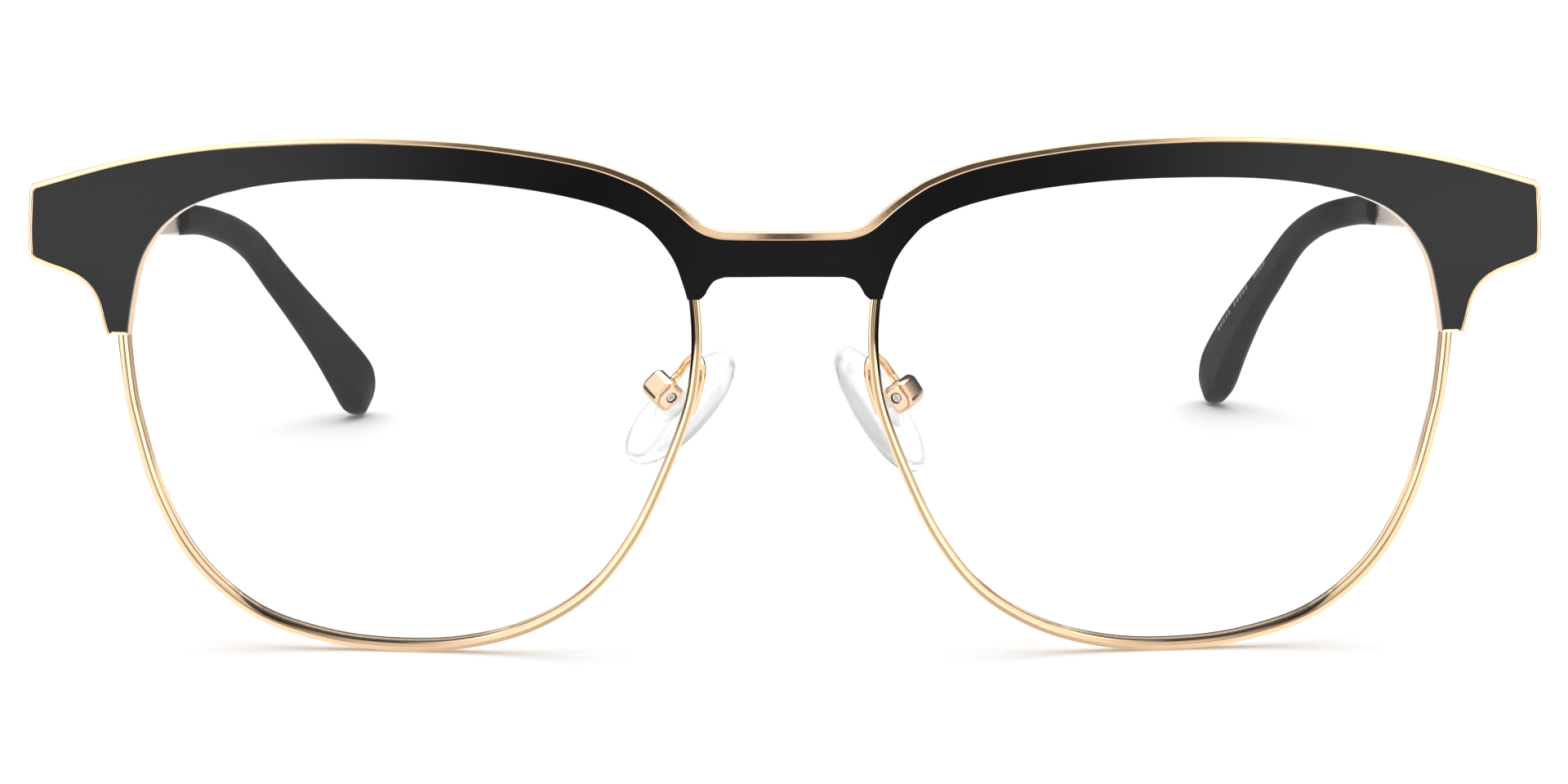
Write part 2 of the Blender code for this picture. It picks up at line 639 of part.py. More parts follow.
def section(centre, travel, width, height, cut, lean=0.0):
    """Chamfered section square to the travel direction, leaning in from upright."""
    across = Vector((1, 0, 0))
    across = (across - across.dot(travel) * travel).normalized()
    up = across.cross(travel)
    if up.z < 0:
        up.negate()
    across, up = across * cos(lean) + up * sin(lean), up * cos(lean) - across * sin(lean)
    return [centre + across * p.x + up * p.y for p in chamfered(width, height, cut)]


def tip_lean(side, station):
    return TIP_LEAN[side] * min(1.0, station / LEAN_STATIONS)


def temple_route(side):
    """Centre points along the tip, and the travel direction at each."""
    centres = [Vector(station[:3]) for station in TIP_STATIONS[side]]
    travels = []
    for i in range(len(centres)):
        step = centres[min(i + 1, len(centres) - 1)] - centres[max(i - 1, 0)]
        travels.append(step.normalized())
    return centres, travels


def mirrored(rings, side):
    return [[Vector((side * p.x, p.y, p.z)) for p in ring] for ring in rings]


def temple_bar(side, tag):
    """Flat metal bar from the hinge to the tip, with the core wire that holds the tip."""
    place = hinge_place(1)
    centres, travels = temple_route(side)
    middle = BAR_INNER + BAR_THICKNESS / 2
    hinge_end, blend_end = place(middle, -1.8, 0), place(middle, 9.0, 0)
    shoulder = centres[0] - travels[0] * JOINT_GAP
    rings = []
    for centre, height in ((hinge_end, BAR_HINGE_HEIGHT), (blend_end, BAR_HINGE_HEIGHT),
                           (blend_end.lerp(shoulder, 0.2), BAR_HEIGHT), (shoulder, BAR_HEIGHT)):
        travel = travels[0] if centre is shoulder else place(0, 1, 0) - place(0, 0, 0)
        rings.append(section(centre, travel, BAR_THICKNESS, height, 0.25))
    rings.append(section(shoulder, travels[0], CORE_THICKNESS, CORE_HEIGHT, 0.2))
    for i in range(1, CORE_STATIONS):
        rings.append(section(centres[i], travels[i], CORE_THICKNESS, CORE_HEIGHT, 0.2,
                             tip_lean(side, i)))
    new_part(f"temple_bar_{tag}", loft(mirrored(rings, side)), GOLD,
             pivot=hinge_place(side)(0, 0, 0))


def temple_tip(side, tag):
    """Black sleeve over the core wire, bent down behind the ear and widened at its end."""
    centres, travels = temple_route(side)
    outer = []
    for i, (x, y, z, width, height) in enumerate(TIP_STATIONS[side]):
        outer.append(section(centres[i], travels[i], width, height, 0.3 * width,
                             tip_lean(side, i)))
    bore_width, bore_height = CORE_THICKNESS + 2 * BORE_PLAY, CORE_HEIGHT + 2 * BORE_PLAY
    last = CORE_STATIONS - 1
    inner = [section(centres[i], travels[i], bore_width, bore_height, 0.2, tip_lean(side, i))
             for i in range(CORE_STATIONS)]
    inner.append(section(centres[last] + travels[last] * 0.5, travels[last], bore_width,
                         bore_height, 0.2, tip_lean(side, last)))
    solid = sleeve(mirrored(outer, side), mirrored(inner, side))
    new_part(f"temple_tip_{tag}", solid, BLACK_ACETATE, pivot=hinge_place(side)(0, 0, 0))


# ---------------------------------------------------------------- assembly

def main():
    for thing in list(bpy.data.objects):
        bpy.data.objects.remove(thing)
    brow_plate()
    brow_inlay()
    for side, tag in ((-1, "right"), (1, "left")):
        for make in (eyewire, lens, rim_lock, pad_arm, pad_box, pad_screw, nose_pad, pad_insert,
                     hinge_front_leaf, hinge_screw, hinge_temple_leaf, temple_bar, temple_tip):
            make(side, tag)


main()
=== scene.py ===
"""Looks of the browline eyeglasses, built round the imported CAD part.

Sizes are in millimetres in the design frame (x across, y back, z up) until piece() turns them
into metres in the row frame, whose place is read from the record's temple hinge.
"""

import json
from math import cos, pi, radians, sin, sqrt

import bmesh
import bpy
from mathutils import Matrix, Vector


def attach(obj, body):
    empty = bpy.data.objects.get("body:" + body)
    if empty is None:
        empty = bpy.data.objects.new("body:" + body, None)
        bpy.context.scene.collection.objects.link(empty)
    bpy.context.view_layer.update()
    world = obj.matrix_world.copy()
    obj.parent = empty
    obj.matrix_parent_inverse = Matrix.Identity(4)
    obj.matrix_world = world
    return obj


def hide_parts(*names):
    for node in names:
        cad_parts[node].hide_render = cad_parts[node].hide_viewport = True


MM = 0.001

# The curved front, as the CAD part lays it out.
WRAP_RADIUS = 324.0
SAG_RADIUS = 200.0
SAG_HEIGHT = 24.5
PLATE_BACK = 1.9
PLATE_CORNER = 0.25          # how far its outline's corners are rounded,
PLATE_ROUND = 0.18           # and its back edge
LIP_DEPTH = 0.45             # the gold border's height in front of the plate
INLAY_FRONT = 0.05
INLAY_BACK = 0.43
INLAY_CORNER = 0.35
INLAY_ROUND = 0.16
INLAY_GAP = 0.01             # between the border and the enamel
BRIDGE_BORDER = 0.86         # widths of the gold border: over the bridge,
BROW_BORDER = 0.60           # along the brow
END_BORDER = 0.42            # round the endpieces
FOOT_BORDER = 0.32           # and at the leg's foot
BRIDGE_HALF = 8.0            # the border narrows from here
BORDER_EASE = 40.0           # to here, across
ENDPIECE_TOP = 44.5          # and below this height it is the endpiece's
RIM_FRONT = 1.96
RIM_BACK = 3.46
RIM_HALF_WIDTH = 0.5
GROOVE_DEPTH = 0.35
GROOVE_HALF_HEIGHT = 0.45
RIM_SPLIT_Z = 35.35
RIM_SPLIT_HALF = 0.1
# Painted shade: a dark band laid on the rim's lens-side bevel, near the foot and beside the nose.
PAINTED_SHADE_FOOT = (22.0, 51.5, 54.8, 0.36)    # dark lens-side edge of the rim: where it starts,
PAINTED_SHADE_NOSE = (26.0, 31.0, 90.0, 0.50)    # is widest and ends, and its width
PAINTED_SHADE_FOOT_TOP = 12.0       # the foot's part of it lies below this height,
PAINTED_SHADE_NOSE_SIDE = 16.0      # and the nose's part nearer the middle than this
PAINTED_SHADE_EDGE = 0.10           # it fades over this width
PAINTED_SHADE = "painted_shade"            # the mesh values that say how dark the painted shade is
LENS_THICKNESS = 1.5
LENS_FRONT = 2.1
LENS_BULGE = 1.1
LENS_CENTRE = (36.5, 23.3)
SLICE_X = 1.2                # facet widths of the bent front
SLICE_Z = 2.0

PAD_DIRECTIONS = {-1: ((-0.70, 0.10, 0.71), (-0.55, 0.61, -0.57)),
                  1: ((-0.54, 0.10, 0.84), (-0.73, 0.47, -0.49))}
PAD_HALF_LENGTH = 7.1
PAD_HALF_WIDTH = 3.5
PAD_DROP = 0.2
BOX_TOP = 1.3
PAD_SCREW_RADIUS = 0.30
ARM_RADIUS = 0.42

HINGE = (68.4, 12.6, 41.0)
TEMPLE_SLOPE = radians(7.8)
FRONT_TURN = 0.216
KNUCKLE_RADIUS = 1.35
KNUCKLE_HALF = 2.4
MIDDLE_HALF = 0.85
KNUCKLE_PLAY = 0.07
HINGE_SCREW_RADIUS = 0.50
HINGE_BORE_RADIUS = 0.57
LEAF_INNER = 0.72
BAR_INNER = 1.5
BAR_THICKNESS = 1.3
BAR_HEIGHT = 3.4
BAR_HINGE_HEIGHT = 5.0

BROW_TOP = [(0, 41.2), (5, 41.25), (6.6, 41.45), (8, 42.1), (10, 43.8), (12, 45.25), (14, 46.35),
            (18, 47.75), (24, 48.85), (31, 49.6), (40, 49.88), (48, 49.6), (56, 48.85),
            (64, 47.35), (72.8, 44.85)]
BROW_END = [(73.05, 44.2), (73.25, 40.5), (73.2, 37.9)]
BROW_LOWER = [(72.7, 37.45), (71.2, 36.9), (69.6, 36.4), (68.2, 35.75), (67.1, 34.8),
              (66.4, 33.5), (66.0, 31.9), (65.6, 30.5)]
BROW_LENS_SIDE = [(63.5, 30.5), (63.38, 31.6), (62.98, 34.0), (62.25, 37.1), (61.2, 39.3),
                  (59.55, 41.35), (56.95, 43.15), (52.3, 44.74), (46.0, 45.7), (38.9, 45.98),
                  (31.1, 45.8), (23.5, 45.0), (17.5, 43.7), (13.8, 42.15), (12.0, 40.6),
                  (10.5, 38.5), (9.6, 36.1), (9.22, 34.78)]
BROW_NOSE_SIDE = [(8.05, 34.78), (7.55, 35.25), (7.2, 35.9), (6.6, 36.6), (5.6, 36.93)]
BRIDGE_UNDER = (0, 36.96)
RIM_LINE = [(64.2, RIM_SPLIT_Z), (64.6, 31.5), (64.2, 26.0), (63.5, 22.0), (61.4, 14.6),
            (57.75, 7.9), (52.0, 2.9), (45.0, 0.5), (38.0, -0.25), (31.3, 0.15), (24.8, 2.0),
            (19.0, 5.7), (14.8, 11.05), (11.8, 17.2), (9.4, 23.6), (8.6, 28.0), (8.5, 32.0),
            (8.95, 36.0), (9.95, 38.8), (11.5, 41.05), (13.4, 42.65), (18.2, 44.6),
            (22.9, 45.65), (31.0, 46.55), (38.9, 46.75), (47.7, 46.25), (53.1, 45.4),
            (57.45, 43.8), (60.65, 41.7), (62.8, 39.2), (63.8, 37.1)]
ARM_ROUTE = [(9.75, 8.2, 27.5), (9.05, 6.9, 28.25), (8.45, 5.6, 28.4), (8.1, 4.6, 27.9),
             (8.05, 4.02, 27.0), (8.3, 3.95, 25.8), (8.7, 3.95, 24.5), (9.15, 3.95, 23.2)]
TIP_STATIONS = {
    -1: [(67.95, 85.0, 30.65, 2.9, 3.5), (66.0, 92.0, 29.6, 2.8, 3.3),
         (64.48, 97.5, 28.2, 2.6, 3.35), (63.08, 102.0, 26.65, 2.45, 3.45),
         (61.63, 107.2, 24.25, 2.4, 3.7), (59.8, 113.2, 20.0, 2.45, 4.0),
         (57.63, 119.2, 15.4, 2.6, 4.5), (55.18, 125.8, 10.2, 2.9, 5.5),
         (52.73, 131.2, 4.95, 3.2, 7.0), (52.1, 133.2, 2.9, 3.2, 6.8),
         (52.0, 134.3, 1.45, 2.9, 5.2), (52.0, 134.9, 0.444, 2.0, 3.2)],
    1: [(66.75, 88.0, 31.0, 2.9, 3.4), (65.15, 95.5, 30.0, 2.7, 3.3),
        (62.8, 101.0, 28.6, 2.5, 3.35), (61.08, 106.2, 26.75, 2.4, 3.4),
        (59.5, 112.0, 23.9, 2.35, 3.6), (57.85, 119.0, 19.2, 2.4, 4.1),
        (56.2, 125.6, 14.6, 2.6, 4.8), (54.75, 132.4, 9.7, 2.9, 6.1),
        (53.6, 138.1, 5.0, 3.1, 7.2), (53.1, 140.2, 2.98, 3.1, 6.7),
        (52.9, 141.4, 1.445, 2.9, 5.2), (52.8, 142.0, 0.431, 2.0, 3.2)]}
TIP_LEAN = {-1: radians(14.0), 1: radians(9.0)}
LEAN_STATIONS = 5            # the section leans in over this many stations
TIP_STEPS = 5                # rings between two stations

SIDES = ((-1, "right"), (1, "left"))


# ---------------------------------------------------------------- placing

def joint_point(name):
    """A joint's place in the row frame, in metres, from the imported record."""
    joints = {joint["name"]: joint for joint in FRAME["joints"]}
    return Vector(joints[name]["pos_m"])


def bend(x, y, z):
    """Lays a flat-pattern point, y behind the front, on the curved front."""
    turn = x / WRAP_RADIUS
    lean = (z - SAG_HEIGHT) / SAG_RADIUS
    surface = Vector((WRAP_RADIUS * sin(turn),
                      WRAP_RADIUS * (1 - cos(turn)) + SAG_RADIUS * (1 - cos(lean)),
                      SAG_HEIGHT + SAG_RADIUS * sin(lean)))
    inward = Vector((-sin(turn) * cos(lean), cos(turn) * cos(lean), -cos(turn) * sin(lean)))
    return surface + y * inward.normalized()


def piece(name, solid, material, body, stands_for=(), smooth=35.0):
    """Finishes a mesh as a piece of the model: metres, normals, material, body, CAD nodes."""
    bmesh.ops.recalc_face_normals(solid, faces=solid.faces)
    for vertex in solid.verts:
        vertex.co = ORIGIN + vertex.co * MM
    mesh = bpy.data.meshes.new(name)
    solid.to_mesh(mesh)
    solid.free()
    mesh.shade_smooth()
    mesh.set_sharp_from_angle(angle=radians(smooth))
    mesh.materials.append(material)
    thing = bpy.data.objects.new(name, mesh)
    bpy.context.scene.collection.objects.link(thing)
    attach(thing, body)
    if stands_for:
        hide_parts(*stands_for)
    return thing


# ---------------------------------------------------------------- curves and solids

def spline(points, steps, closed=False):
    """Catmull-Rom curve through the points, with the given steps between two of them."""
    count = len(points)
    spans = count if closed else count - 1
    curve = []
    for i in range(spans):
        if closed:
            a, b, c, d = (Vector(points[(i + k) % count]) for k in (-1, 0, 1, 2))
        else:
            a, b, c, d = (Vector(points[min(max(i + k, 0), count - 1)]) for k in (-1, 0, 1, 2))
        for step in range(steps):
            t = step / steps
            curve.append(0.5 * (2 * b + (c - a) * t + (2 * a - 5 * b + 4 * c - d) * t * t
                                + (3 * b - a - 3 * c + d) * t ** 3))
    if not closed:
        curve.append(Vector(points[-1]))
    return curve


def inset(line, distance):
    """Moves an open line to the right of its travel, with mitred corners."""
    moved = []
    for i, point in enumerate(line):
        before = (point - line[i - 1]).normalized() if i else None
        after = (line[i + 1] - point).normalized() if i + 1 < len(line) else None
        before = before or after
        after = after or before
        mitre = Vector((before.y + after.y, -before.x - after.x)).normalized()
        reach = mitre.dot(Vector((after.y, -after.x)))
        moved.append(point + mitre * (distance / reach))
    return moved


def both_halves(half):
    return half + [Vector((-p.x, p.y)) for p in reversed(half[1:-1])]


def softened(outline, radius, sharpest=0.35, closed=True):
    """Rounds each corner of an outline that turns more than the given angle."""
    rounded = []
    count = len(outline)
    for i, point in enumerate(outline):
        if not closed and i in (0, count - 1):
            rounded.append(point)
            continue
        before, after = outline[i - 1] - point, outline[(i + 1) % count] - point
        if pi - before.angle(after) < sharpest:
            rounded.append(point)
            continue
        reach = min(radius, 0.45 * before.length, 0.45 * after.length)
        start, end = point + before.normalized() * reach, point + after.normalized() * reach
        for t in (0, 0.25, 0.5, 0.75, 1):
            rounded.append(start.lerp(point, t).lerp(point.lerp(end, t), t))
    return rounded


def circle(radius, count, start=0.0):
    return [Vector((radius * cos(start + 2 * pi * i / count),
                    radius * sin(start + 2 * pi * i / count))) for i in range(count)]


def frame_axes(length_dir, face_dir):
    along = Vector(length_dir).normalized()
    face = Vector(face_dir)
    face = (face - face.dot(along) * along).normalized()
    return along, face, along.cross(face)


def skin_between(solid, near, far):
    faces = []
    for i in range(len(near)):
        j = (i + 1) % len(near)
        faces.append(solid.faces.new((near[i], near[j], far[j], far[i])))
    return faces


def loft(rings, capped=True):
    solid = bmesh.new()
    loops = [[solid.verts.new(p) for p in ring] for ring in rings]
    for near, far in zip(loops, loops[1:]):
        skin_between(solid, near, far)
    if capped:
        solid.faces.new(reversed(loops[0]))
        solid.faces.new(loops[-1])
    return solid


def flat(x, z, depth):
    return Vector((x, depth, z))


def prism(outline, low, high, place, round_low=0.0, round_high=0.0, segments=3):
    """Extrudes an outline between two levels, with rounded edges where asked."""
    solid = bmesh.new()
    ends = [[solid.verts.new(Vector((p.x, p.y, level))) for p in outline] for level in (low, high)]
    solid.faces.new(ends[0])
    solid.faces.new(reversed(ends[1]))
    for i in range(len(outline)):
        j = (i + 1) % len(outline)
        solid.faces.new((ends[0][j], ends[0][i], ends[1][i], ends[1][j]))
    for level, radius in ((low, round_low), (high, round_high)):
        if radius:
            rim = [edge for edge in solid.edges
                   if all(abs(v.co.z - level) < 1e-6 for v in edge.verts)]
            bmesh.ops.bevel(solid, geom=rim, offset=radius, segments=segments, profile=0.5,
                            affect="EDGES", clamp_overlap=True)
    for vertex in solid.verts:
        vertex.co = place(*vertex.co)
    return solid


def pillow(outline, low, high, edge, place, steps=6):
    """A block between two levels whose outline draws in, in a round, towards both ends."""
    centre = sum(outline, Vector((0.0, 0.0))) / len(outline)
    half = min((p - centre).length for p in outline)
    rounds = []
    for i in range(steps + 1):
        turn = pi / 2 * i / steps
        rounds.append((edge * (1 - cos(turn)), 1 - edge * (1 - sin(turn)) / half))
    levels = [(low + rise, scale) for rise, scale in rounds]
    levels += [(high - rise, scale) for rise, scale in reversed(rounds)]
    return loft([[place(*(centre + (p - centre) * scale), level) for p in outline]
                 for level, scale in levels])


def lathe(profile, count, place):
    """Turns (radius, height) points about an axis; place(a, b, height) gives each corner."""
    return loft([[place(p.x, p.y, height) for p in circle(radius, count)]
                 for radius, height in profile])


def scratch(solid):
    bmesh.ops.recalc_face_normals(solid, faces=solid.faces)
    mesh = bpy.data.meshes.new("scratch")
    solid.to_mesh(mesh)
    solid.free()
    thing = bpy.data.objects.new("scratch", mesh)
    bpy.context.scene.collection.objects.link(thing)
    return thing


def cut(base, *tools):
    """Takes the tool solids away from the base and returns the result."""
    body = scratch(base)
    for solid in tools:
        tool = scratch(solid)
        modifier = body.modifiers.new("cut", "BOOLEAN")
        modifier.operation = "DIFFERENCE"
        modifier.object = tool
        modifier.solver = "EXACT"
        evaluated = body.evaluated_get(bpy.context.evaluated_depsgraph_get())
        result = bpy.data.meshes.new_from_object(evaluated)
        body.modifiers.clear()
        body.data = result
        bpy.data.objects.remove(tool)
    left = bmesh.new()
    left.from_mesh(body.data)
    bpy.data.objects.remove(body)
    return left


def merged(*solids):
    """Several closed shells in one mesh."""
    whole = bmesh.new()
    for solid in solids:
        mesh = bpy.data.meshes.new("shell")
        solid.to_mesh(mesh)
        solid.free()
        whole.from_mesh(mesh)
        bpy.data.meshes.remove(mesh)
    return whole


def slice_and_bend(solid):
    """Cuts a flat solid into narrow facets and bends it onto the front surface."""
    for axis, spacing in ((0, SLICE_X), (2, SLICE_Z)):
        values = [v.co[axis] for v in solid.verts]
        level = spacing * (int(min(values) / spacing) - 1.5)
        while level < max(values):
            level += spacing
            where = Vector((0, 0, 0))
            where[axis] = level
            facing = Vector((0, 0, 0))
            facing[axis] = 1
            geometry = solid.verts[:] + solid.edges[:] + solid.faces[:]
            bmesh.ops.bisect_plane(solid, geom=geometry, plane_co=where, plane_no=facing,
                                   dist=0.005)
    bmesh.ops.triangulate(solid, faces=[face for face in solid.faces if len(face.verts) > 4])
    for vertex in solid.verts:
        vertex.co = bend(*vertex.co)
    return solid


# ---------------------------------------------------------------- materials

class Nodes:
    """Short calls for building a node tree round a Principled shader."""

    def __init__(self, name):
        self.material = bpy.data.materials.new(name)
        self.material.use_nodes = True
        self.tree = self.material.node_tree
        self.shader = self.tree.nodes["Principled BSDF"]

    def add(self, kind, **values):
        node = self.tree.nodes.new(kind)
        for key, value in values.items():
            if key in node.inputs:
                node.inputs[key].default_value = value
            else:
                setattr(node, key, value)
        return node

    def join(self, a, b):
        self.tree.links.new(a, b)

    def coordinates(self, stretch=(1.0, 1.0, 1.0)):
        place = self.add("ShaderNodeTexCoord")
        mapping = self.add("ShaderNodeMapping")
        mapping.inputs["Scale"].default_value = stretch
        self.join(place.outputs["Object"], mapping.inputs["Vector"])
        return mapping.outputs["Vector"]

    def noise(self, vector, scale, detail=3.0, roughness=0.55):
        node = self.add("ShaderNodeTexNoise")
        node.inputs["Scale"].default_value = scale
        node.inputs["Detail"].default_value = detail
        node.inputs["Roughness"].default_value = roughness
        self.join(vector, node.inputs["Vector"])
        return node.outputs["Fac"]

    def ramp(self, factor, stops):
        node = self.add("ShaderNodeValToRGB")
        elements = node.color_ramp.elements
        while len(elements) < len(stops):
            elements.new(0.5)
        for element, (place, colour) in zip(elements, stops):
            element.position = place
            element.color = (*colour, 1.0)
        self.join(factor, node.inputs["Fac"])
        return node.outputs["Color"]

    def spread(self, factor, low, high):
        node = self.add("ShaderNodeMapRange")
        node.inputs["From Min"].default_value = 0.3
        node.inputs["From Max"].default_value = 0.7
        node.inputs["To Min"].default_value = low
        node.inputs["To Max"].default_value = high
        self.join(factor, node.inputs["Value"])
        return node.outputs["Result"]

    def bump(self, height, strength, distance):
        node = self.add("ShaderNodeBump")
        node.inputs["Strength"].default_value = strength
        node.inputs["Distance"].default_value = distance
        self.join(height, node.inputs["Height"])
        self.join(node.outputs["Normal"], self.shader.inputs["Normal"])


def gold(name, tint=(0.94, 0.66, 0.42), roughness=(0.035, 0.075), dark=None):
    """Polished pale gold plating: slight tone changes, fine polishing lines.

    With a dark tint, painted shade: the mesh's shade values say where the plating is painted that
    dark.
    """
    nodes = Nodes(name)
    place = nodes.coordinates()
    tone = nodes.noise(place, 160.0)
    worn = tuple(0.93 * c for c in tint)
    colour = nodes.ramp(tone, [(0.35, worn), (0.65, tint)])
    # Painted shade: the dark tint is mixed into the base colour where the mesh's values ask for
    # it.
    if dark:
        shade = nodes.add("ShaderNodeAttribute", attribute_name=PAINTED_SHADE)
        blend = nodes.add("ShaderNodeMixRGB", Color2=(*dark, 1.0))
        nodes.join(shade.outputs["Fac"], blend.inputs["Fac"])
        nodes.join(colour, blend.inputs["Color1"])
        colour = blend.outputs["Color"]
    nodes.join(colour, nodes.shader.inputs["Base Color"])
    nodes.shader.inputs["Metallic"].default_value = 1.0
    polish = nodes.noise(nodes.coordinates((1.0, 6.0, 6.0)), 900.0, 4.0)
    nodes.join(nodes.spread(polish, *roughness), nodes.shader.inputs["Roughness"])
    nodes.bump(polish, 0.05, 0.00004)
    return nodes.material


def enamel():
    """Satin black lacquer with a fine orange peel, and a painted sheen that makes it a little
    lighter towards the outer ends.
    """
    nodes = Nodes("black_enamel")
    place = nodes.coordinates()
    mottle = nodes.noise(place, 90.0, 4.0)
    split = nodes.add("ShaderNodeSeparateXYZ")
    nodes.join(place, split.inputs["Vector"])
    side = nodes.add("ShaderNodeMath", operation="ABSOLUTE")
    nodes.join(split.outputs["X"], side.inputs[0])
    # Painted sheen: the colour lightens away from the bridge.
    outward = nodes.add("ShaderNodeMapRange")
    outward.inputs["From Min"].default_value = 0.008
    outward.inputs["From Max"].default_value = 0.045
    outward.inputs["To Min"].default_value = 0.0
    outward.inputs["To Max"].default_value = 0.82
    nodes.join(side.outputs[0], outward.inputs["Value"])
    blend = nodes.add("ShaderNodeMath", operation="MULTIPLY_ADD")
    nodes.join(mottle, blend.inputs[0])
    blend.inputs[1].default_value = 0.16
    nodes.join(outward.outputs["Result"], blend.inputs[2])
    colour = nodes.ramp(blend.outputs[0], [(0.0, (0.0015, 0.0014, 0.0015)),
                                           (1.0, (0.008, 0.0075, 0.0078))])
    nodes.join(colour, nodes.shader.inputs["Base Color"])
    nodes.join(nodes.spread(mottle, 0.15, 0.20), nodes.shader.inputs["Roughness"])
    nodes.shader.inputs["Specular IOR Level"].default_value = 0.28
    nodes.bump(nodes.noise(place, 1500.0, 2.0), 0.06, 0.00003)
    return nodes.material


def acetate():
    """Soft matte black tip: fine moulding grain, faint handling marks."""
    nodes = Nodes("black_acetate")
    place = nodes.coordinates()
    marks = nodes.noise(place, 220.0, 5.0)
    colour = nodes.ramp(marks, [(0.3, (0.0028, 0.0028, 0.0030)), (0.7, (0.0045, 0.0045, 0.0048))])
    nodes.join(colour, nodes.shader.inputs["Base Color"])
    nodes.join(nodes.spread(marks, 0.30, 0.40), nodes.shader.inputs["Roughness"])
    nodes.shader.inputs["Specular IOR Level"].default_value = 0.04
    nodes.shader.inputs["IOR"].default_value = 1.25
    nodes.bump(nodes.noise(place, 2600.0, 2.0), 0.04, 0.00002)
    return nodes.material


def ink():
    """Pale grey pad print, a little uneven."""
    nodes = Nodes("pad_print")
    tone = nodes.noise(nodes.coordinates(), 1800.0)
    colour = nodes.ramp(tone, [(0.3, (0.10, 0.10, 0.11)), (0.7, (0.17, 0.17, 0.18))])
    nodes.join(colour, nodes.shader.inputs["Base Color"])
    nodes.join(nodes.spread(tone, 0.5, 0.65), nodes.shader.inputs["Roughness"])
    return nodes.material


def steel():
    """Turned steel: fine rings in tone and roughness."""
    nodes = Nodes("turned_steel")
    place = nodes.coordinates()
    grain = nodes.noise(place, 3000.0, 3.0)
    colour = nodes.ramp(grain, [(0.3, (0.50, 0.49, 0.47)), (0.7, (0.72, 0.71, 0.69))])
    nodes.join(colour, nodes.shader.inputs["Base Color"])
    nodes.shader.inputs["Metallic"].default_value = 1.0
    nodes.join(nodes.spread(grain, 0.22, 0.34), nodes.shader.inputs["Roughness"])
    nodes.bump(grain, 0.08, 0.00002)
    return nodes.material


def see_through(name, tint, alpha, edge_alpha, roughness, mottle_scale):
    """Clear plastic or glass: thin in the middle, denser where it is seen edge on."""
    nodes = Nodes(name)
    place = nodes.coordinates()
    tone = nodes.noise(place, mottle_scale, 4.0)
    colour = nodes.ramp(tone, [(0.3, tuple(0.93 * c for c in tint)), (0.7, tint)])
    nodes.join(colour, nodes.shader.inputs["Base Color"])
    nodes.join(nodes.spread(tone, *roughness), nodes.shader.inputs["Roughness"])
    facing = nodes.add("ShaderNodeLayerWeight")
    facing.inputs["Blend"].default_value = 0.35
    edge = nodes.add("ShaderNodeMapRange")
    edge.inputs["To Min"].default_value = alpha
    edge.inputs["To Max"].default_value = edge_alpha
    nodes.join(facing.outputs["Facing"], edge.inputs["Value"])
    nodes.join(edge.outputs["Result"], nodes.shader.inputs["Alpha"])
    nodes.bump(tone, 0.03, 0.00005)
    return nodes.material


def clear_moulding(name, tint, index, roughness, alpha):
    """Clear moulded plastic that bends the light: faint flow marks, a soft skin."""
    nodes = Nodes(name)
    flow = nodes.noise(nodes.coordinates((1.0, 1.0, 0.35)), 420.0, 3.0)
    colour = nodes.ramp(flow, [(0.3, tuple(0.97 * c for c in tint)), (0.7, tint)])
    nodes.join(colour, nodes.shader.inputs["Base Color"])
    nodes.join(nodes.spread(flow, *roughness), nodes.shader.inputs["Roughness"])
    nodes.shader.inputs["Transmission Weight"].default_value = 1.0
    nodes.shader.inputs["IOR"].default_value = index
    nodes.shader.inputs["Alpha"].default_value = alpha
    nodes.bump(flow, 0.04, 0.00004)
    return nodes.material


# ---------------------------------------------------------------- the front

def gold_run():
    """The gold outer edge: along the brow top, round the endpiece, down to the leg's foot."""
    return spline(BROW_TOP, 9) + spline(BROW_END, 3) + spline(BROW_LOWER, 5)


def border_width(point):
    if point.x > BORDER_EASE and point.y < ENDPIECE_TOP:
        return END_BORDER
    along = min(1.0, max(0.0, (point.x - BRIDGE_HALF) / (BORDER_EASE - BRIDGE_HALF)))
    return BRIDGE_BORDER + (BROW_BORDER - BRIDGE_BORDER) * along


def lip_section(width):
    """Section of the raised border, from its outer foot to its inner one."""
    outer, inner, edge = 0.15, 0.18, 0.012
    points = [(0.0, LIP_DEPTH)]
    points += [(outer - outer * cos(a), outer - outer * sin(a))
               for a in (radians(d) for d in (0, 22.5, 45, 67.5, 90))]
    points += [(outer + edge, 0.0), (width - inner - edge, 0.0)]
    points += [(width - inner + inner * sin(a), inner - inner * cos(a))
               for a in (radians(d) for d in (0, 22.5, 45, 67.5, 90))]
    return points + [(width, LIP_DEPTH)]


def brow_lip(run):
    """The border swept along the gold edge, right across the front."""
    rings = []
    for outer, inner in zip(run, inset(run, 1.0)):
        section_points = lip_section(border_width(outer))
        rings.append([(outer + (inner - outer) * across, depth)
                      for across, depth in section_points])
    left = [[(Vector((-p.x, p.y)), depth) for p, depth in ring] for ring in reversed(rings[1:])]
    return loft([[bend(p.x, depth, p.y) for p, depth in ring] for ring in left + rings])


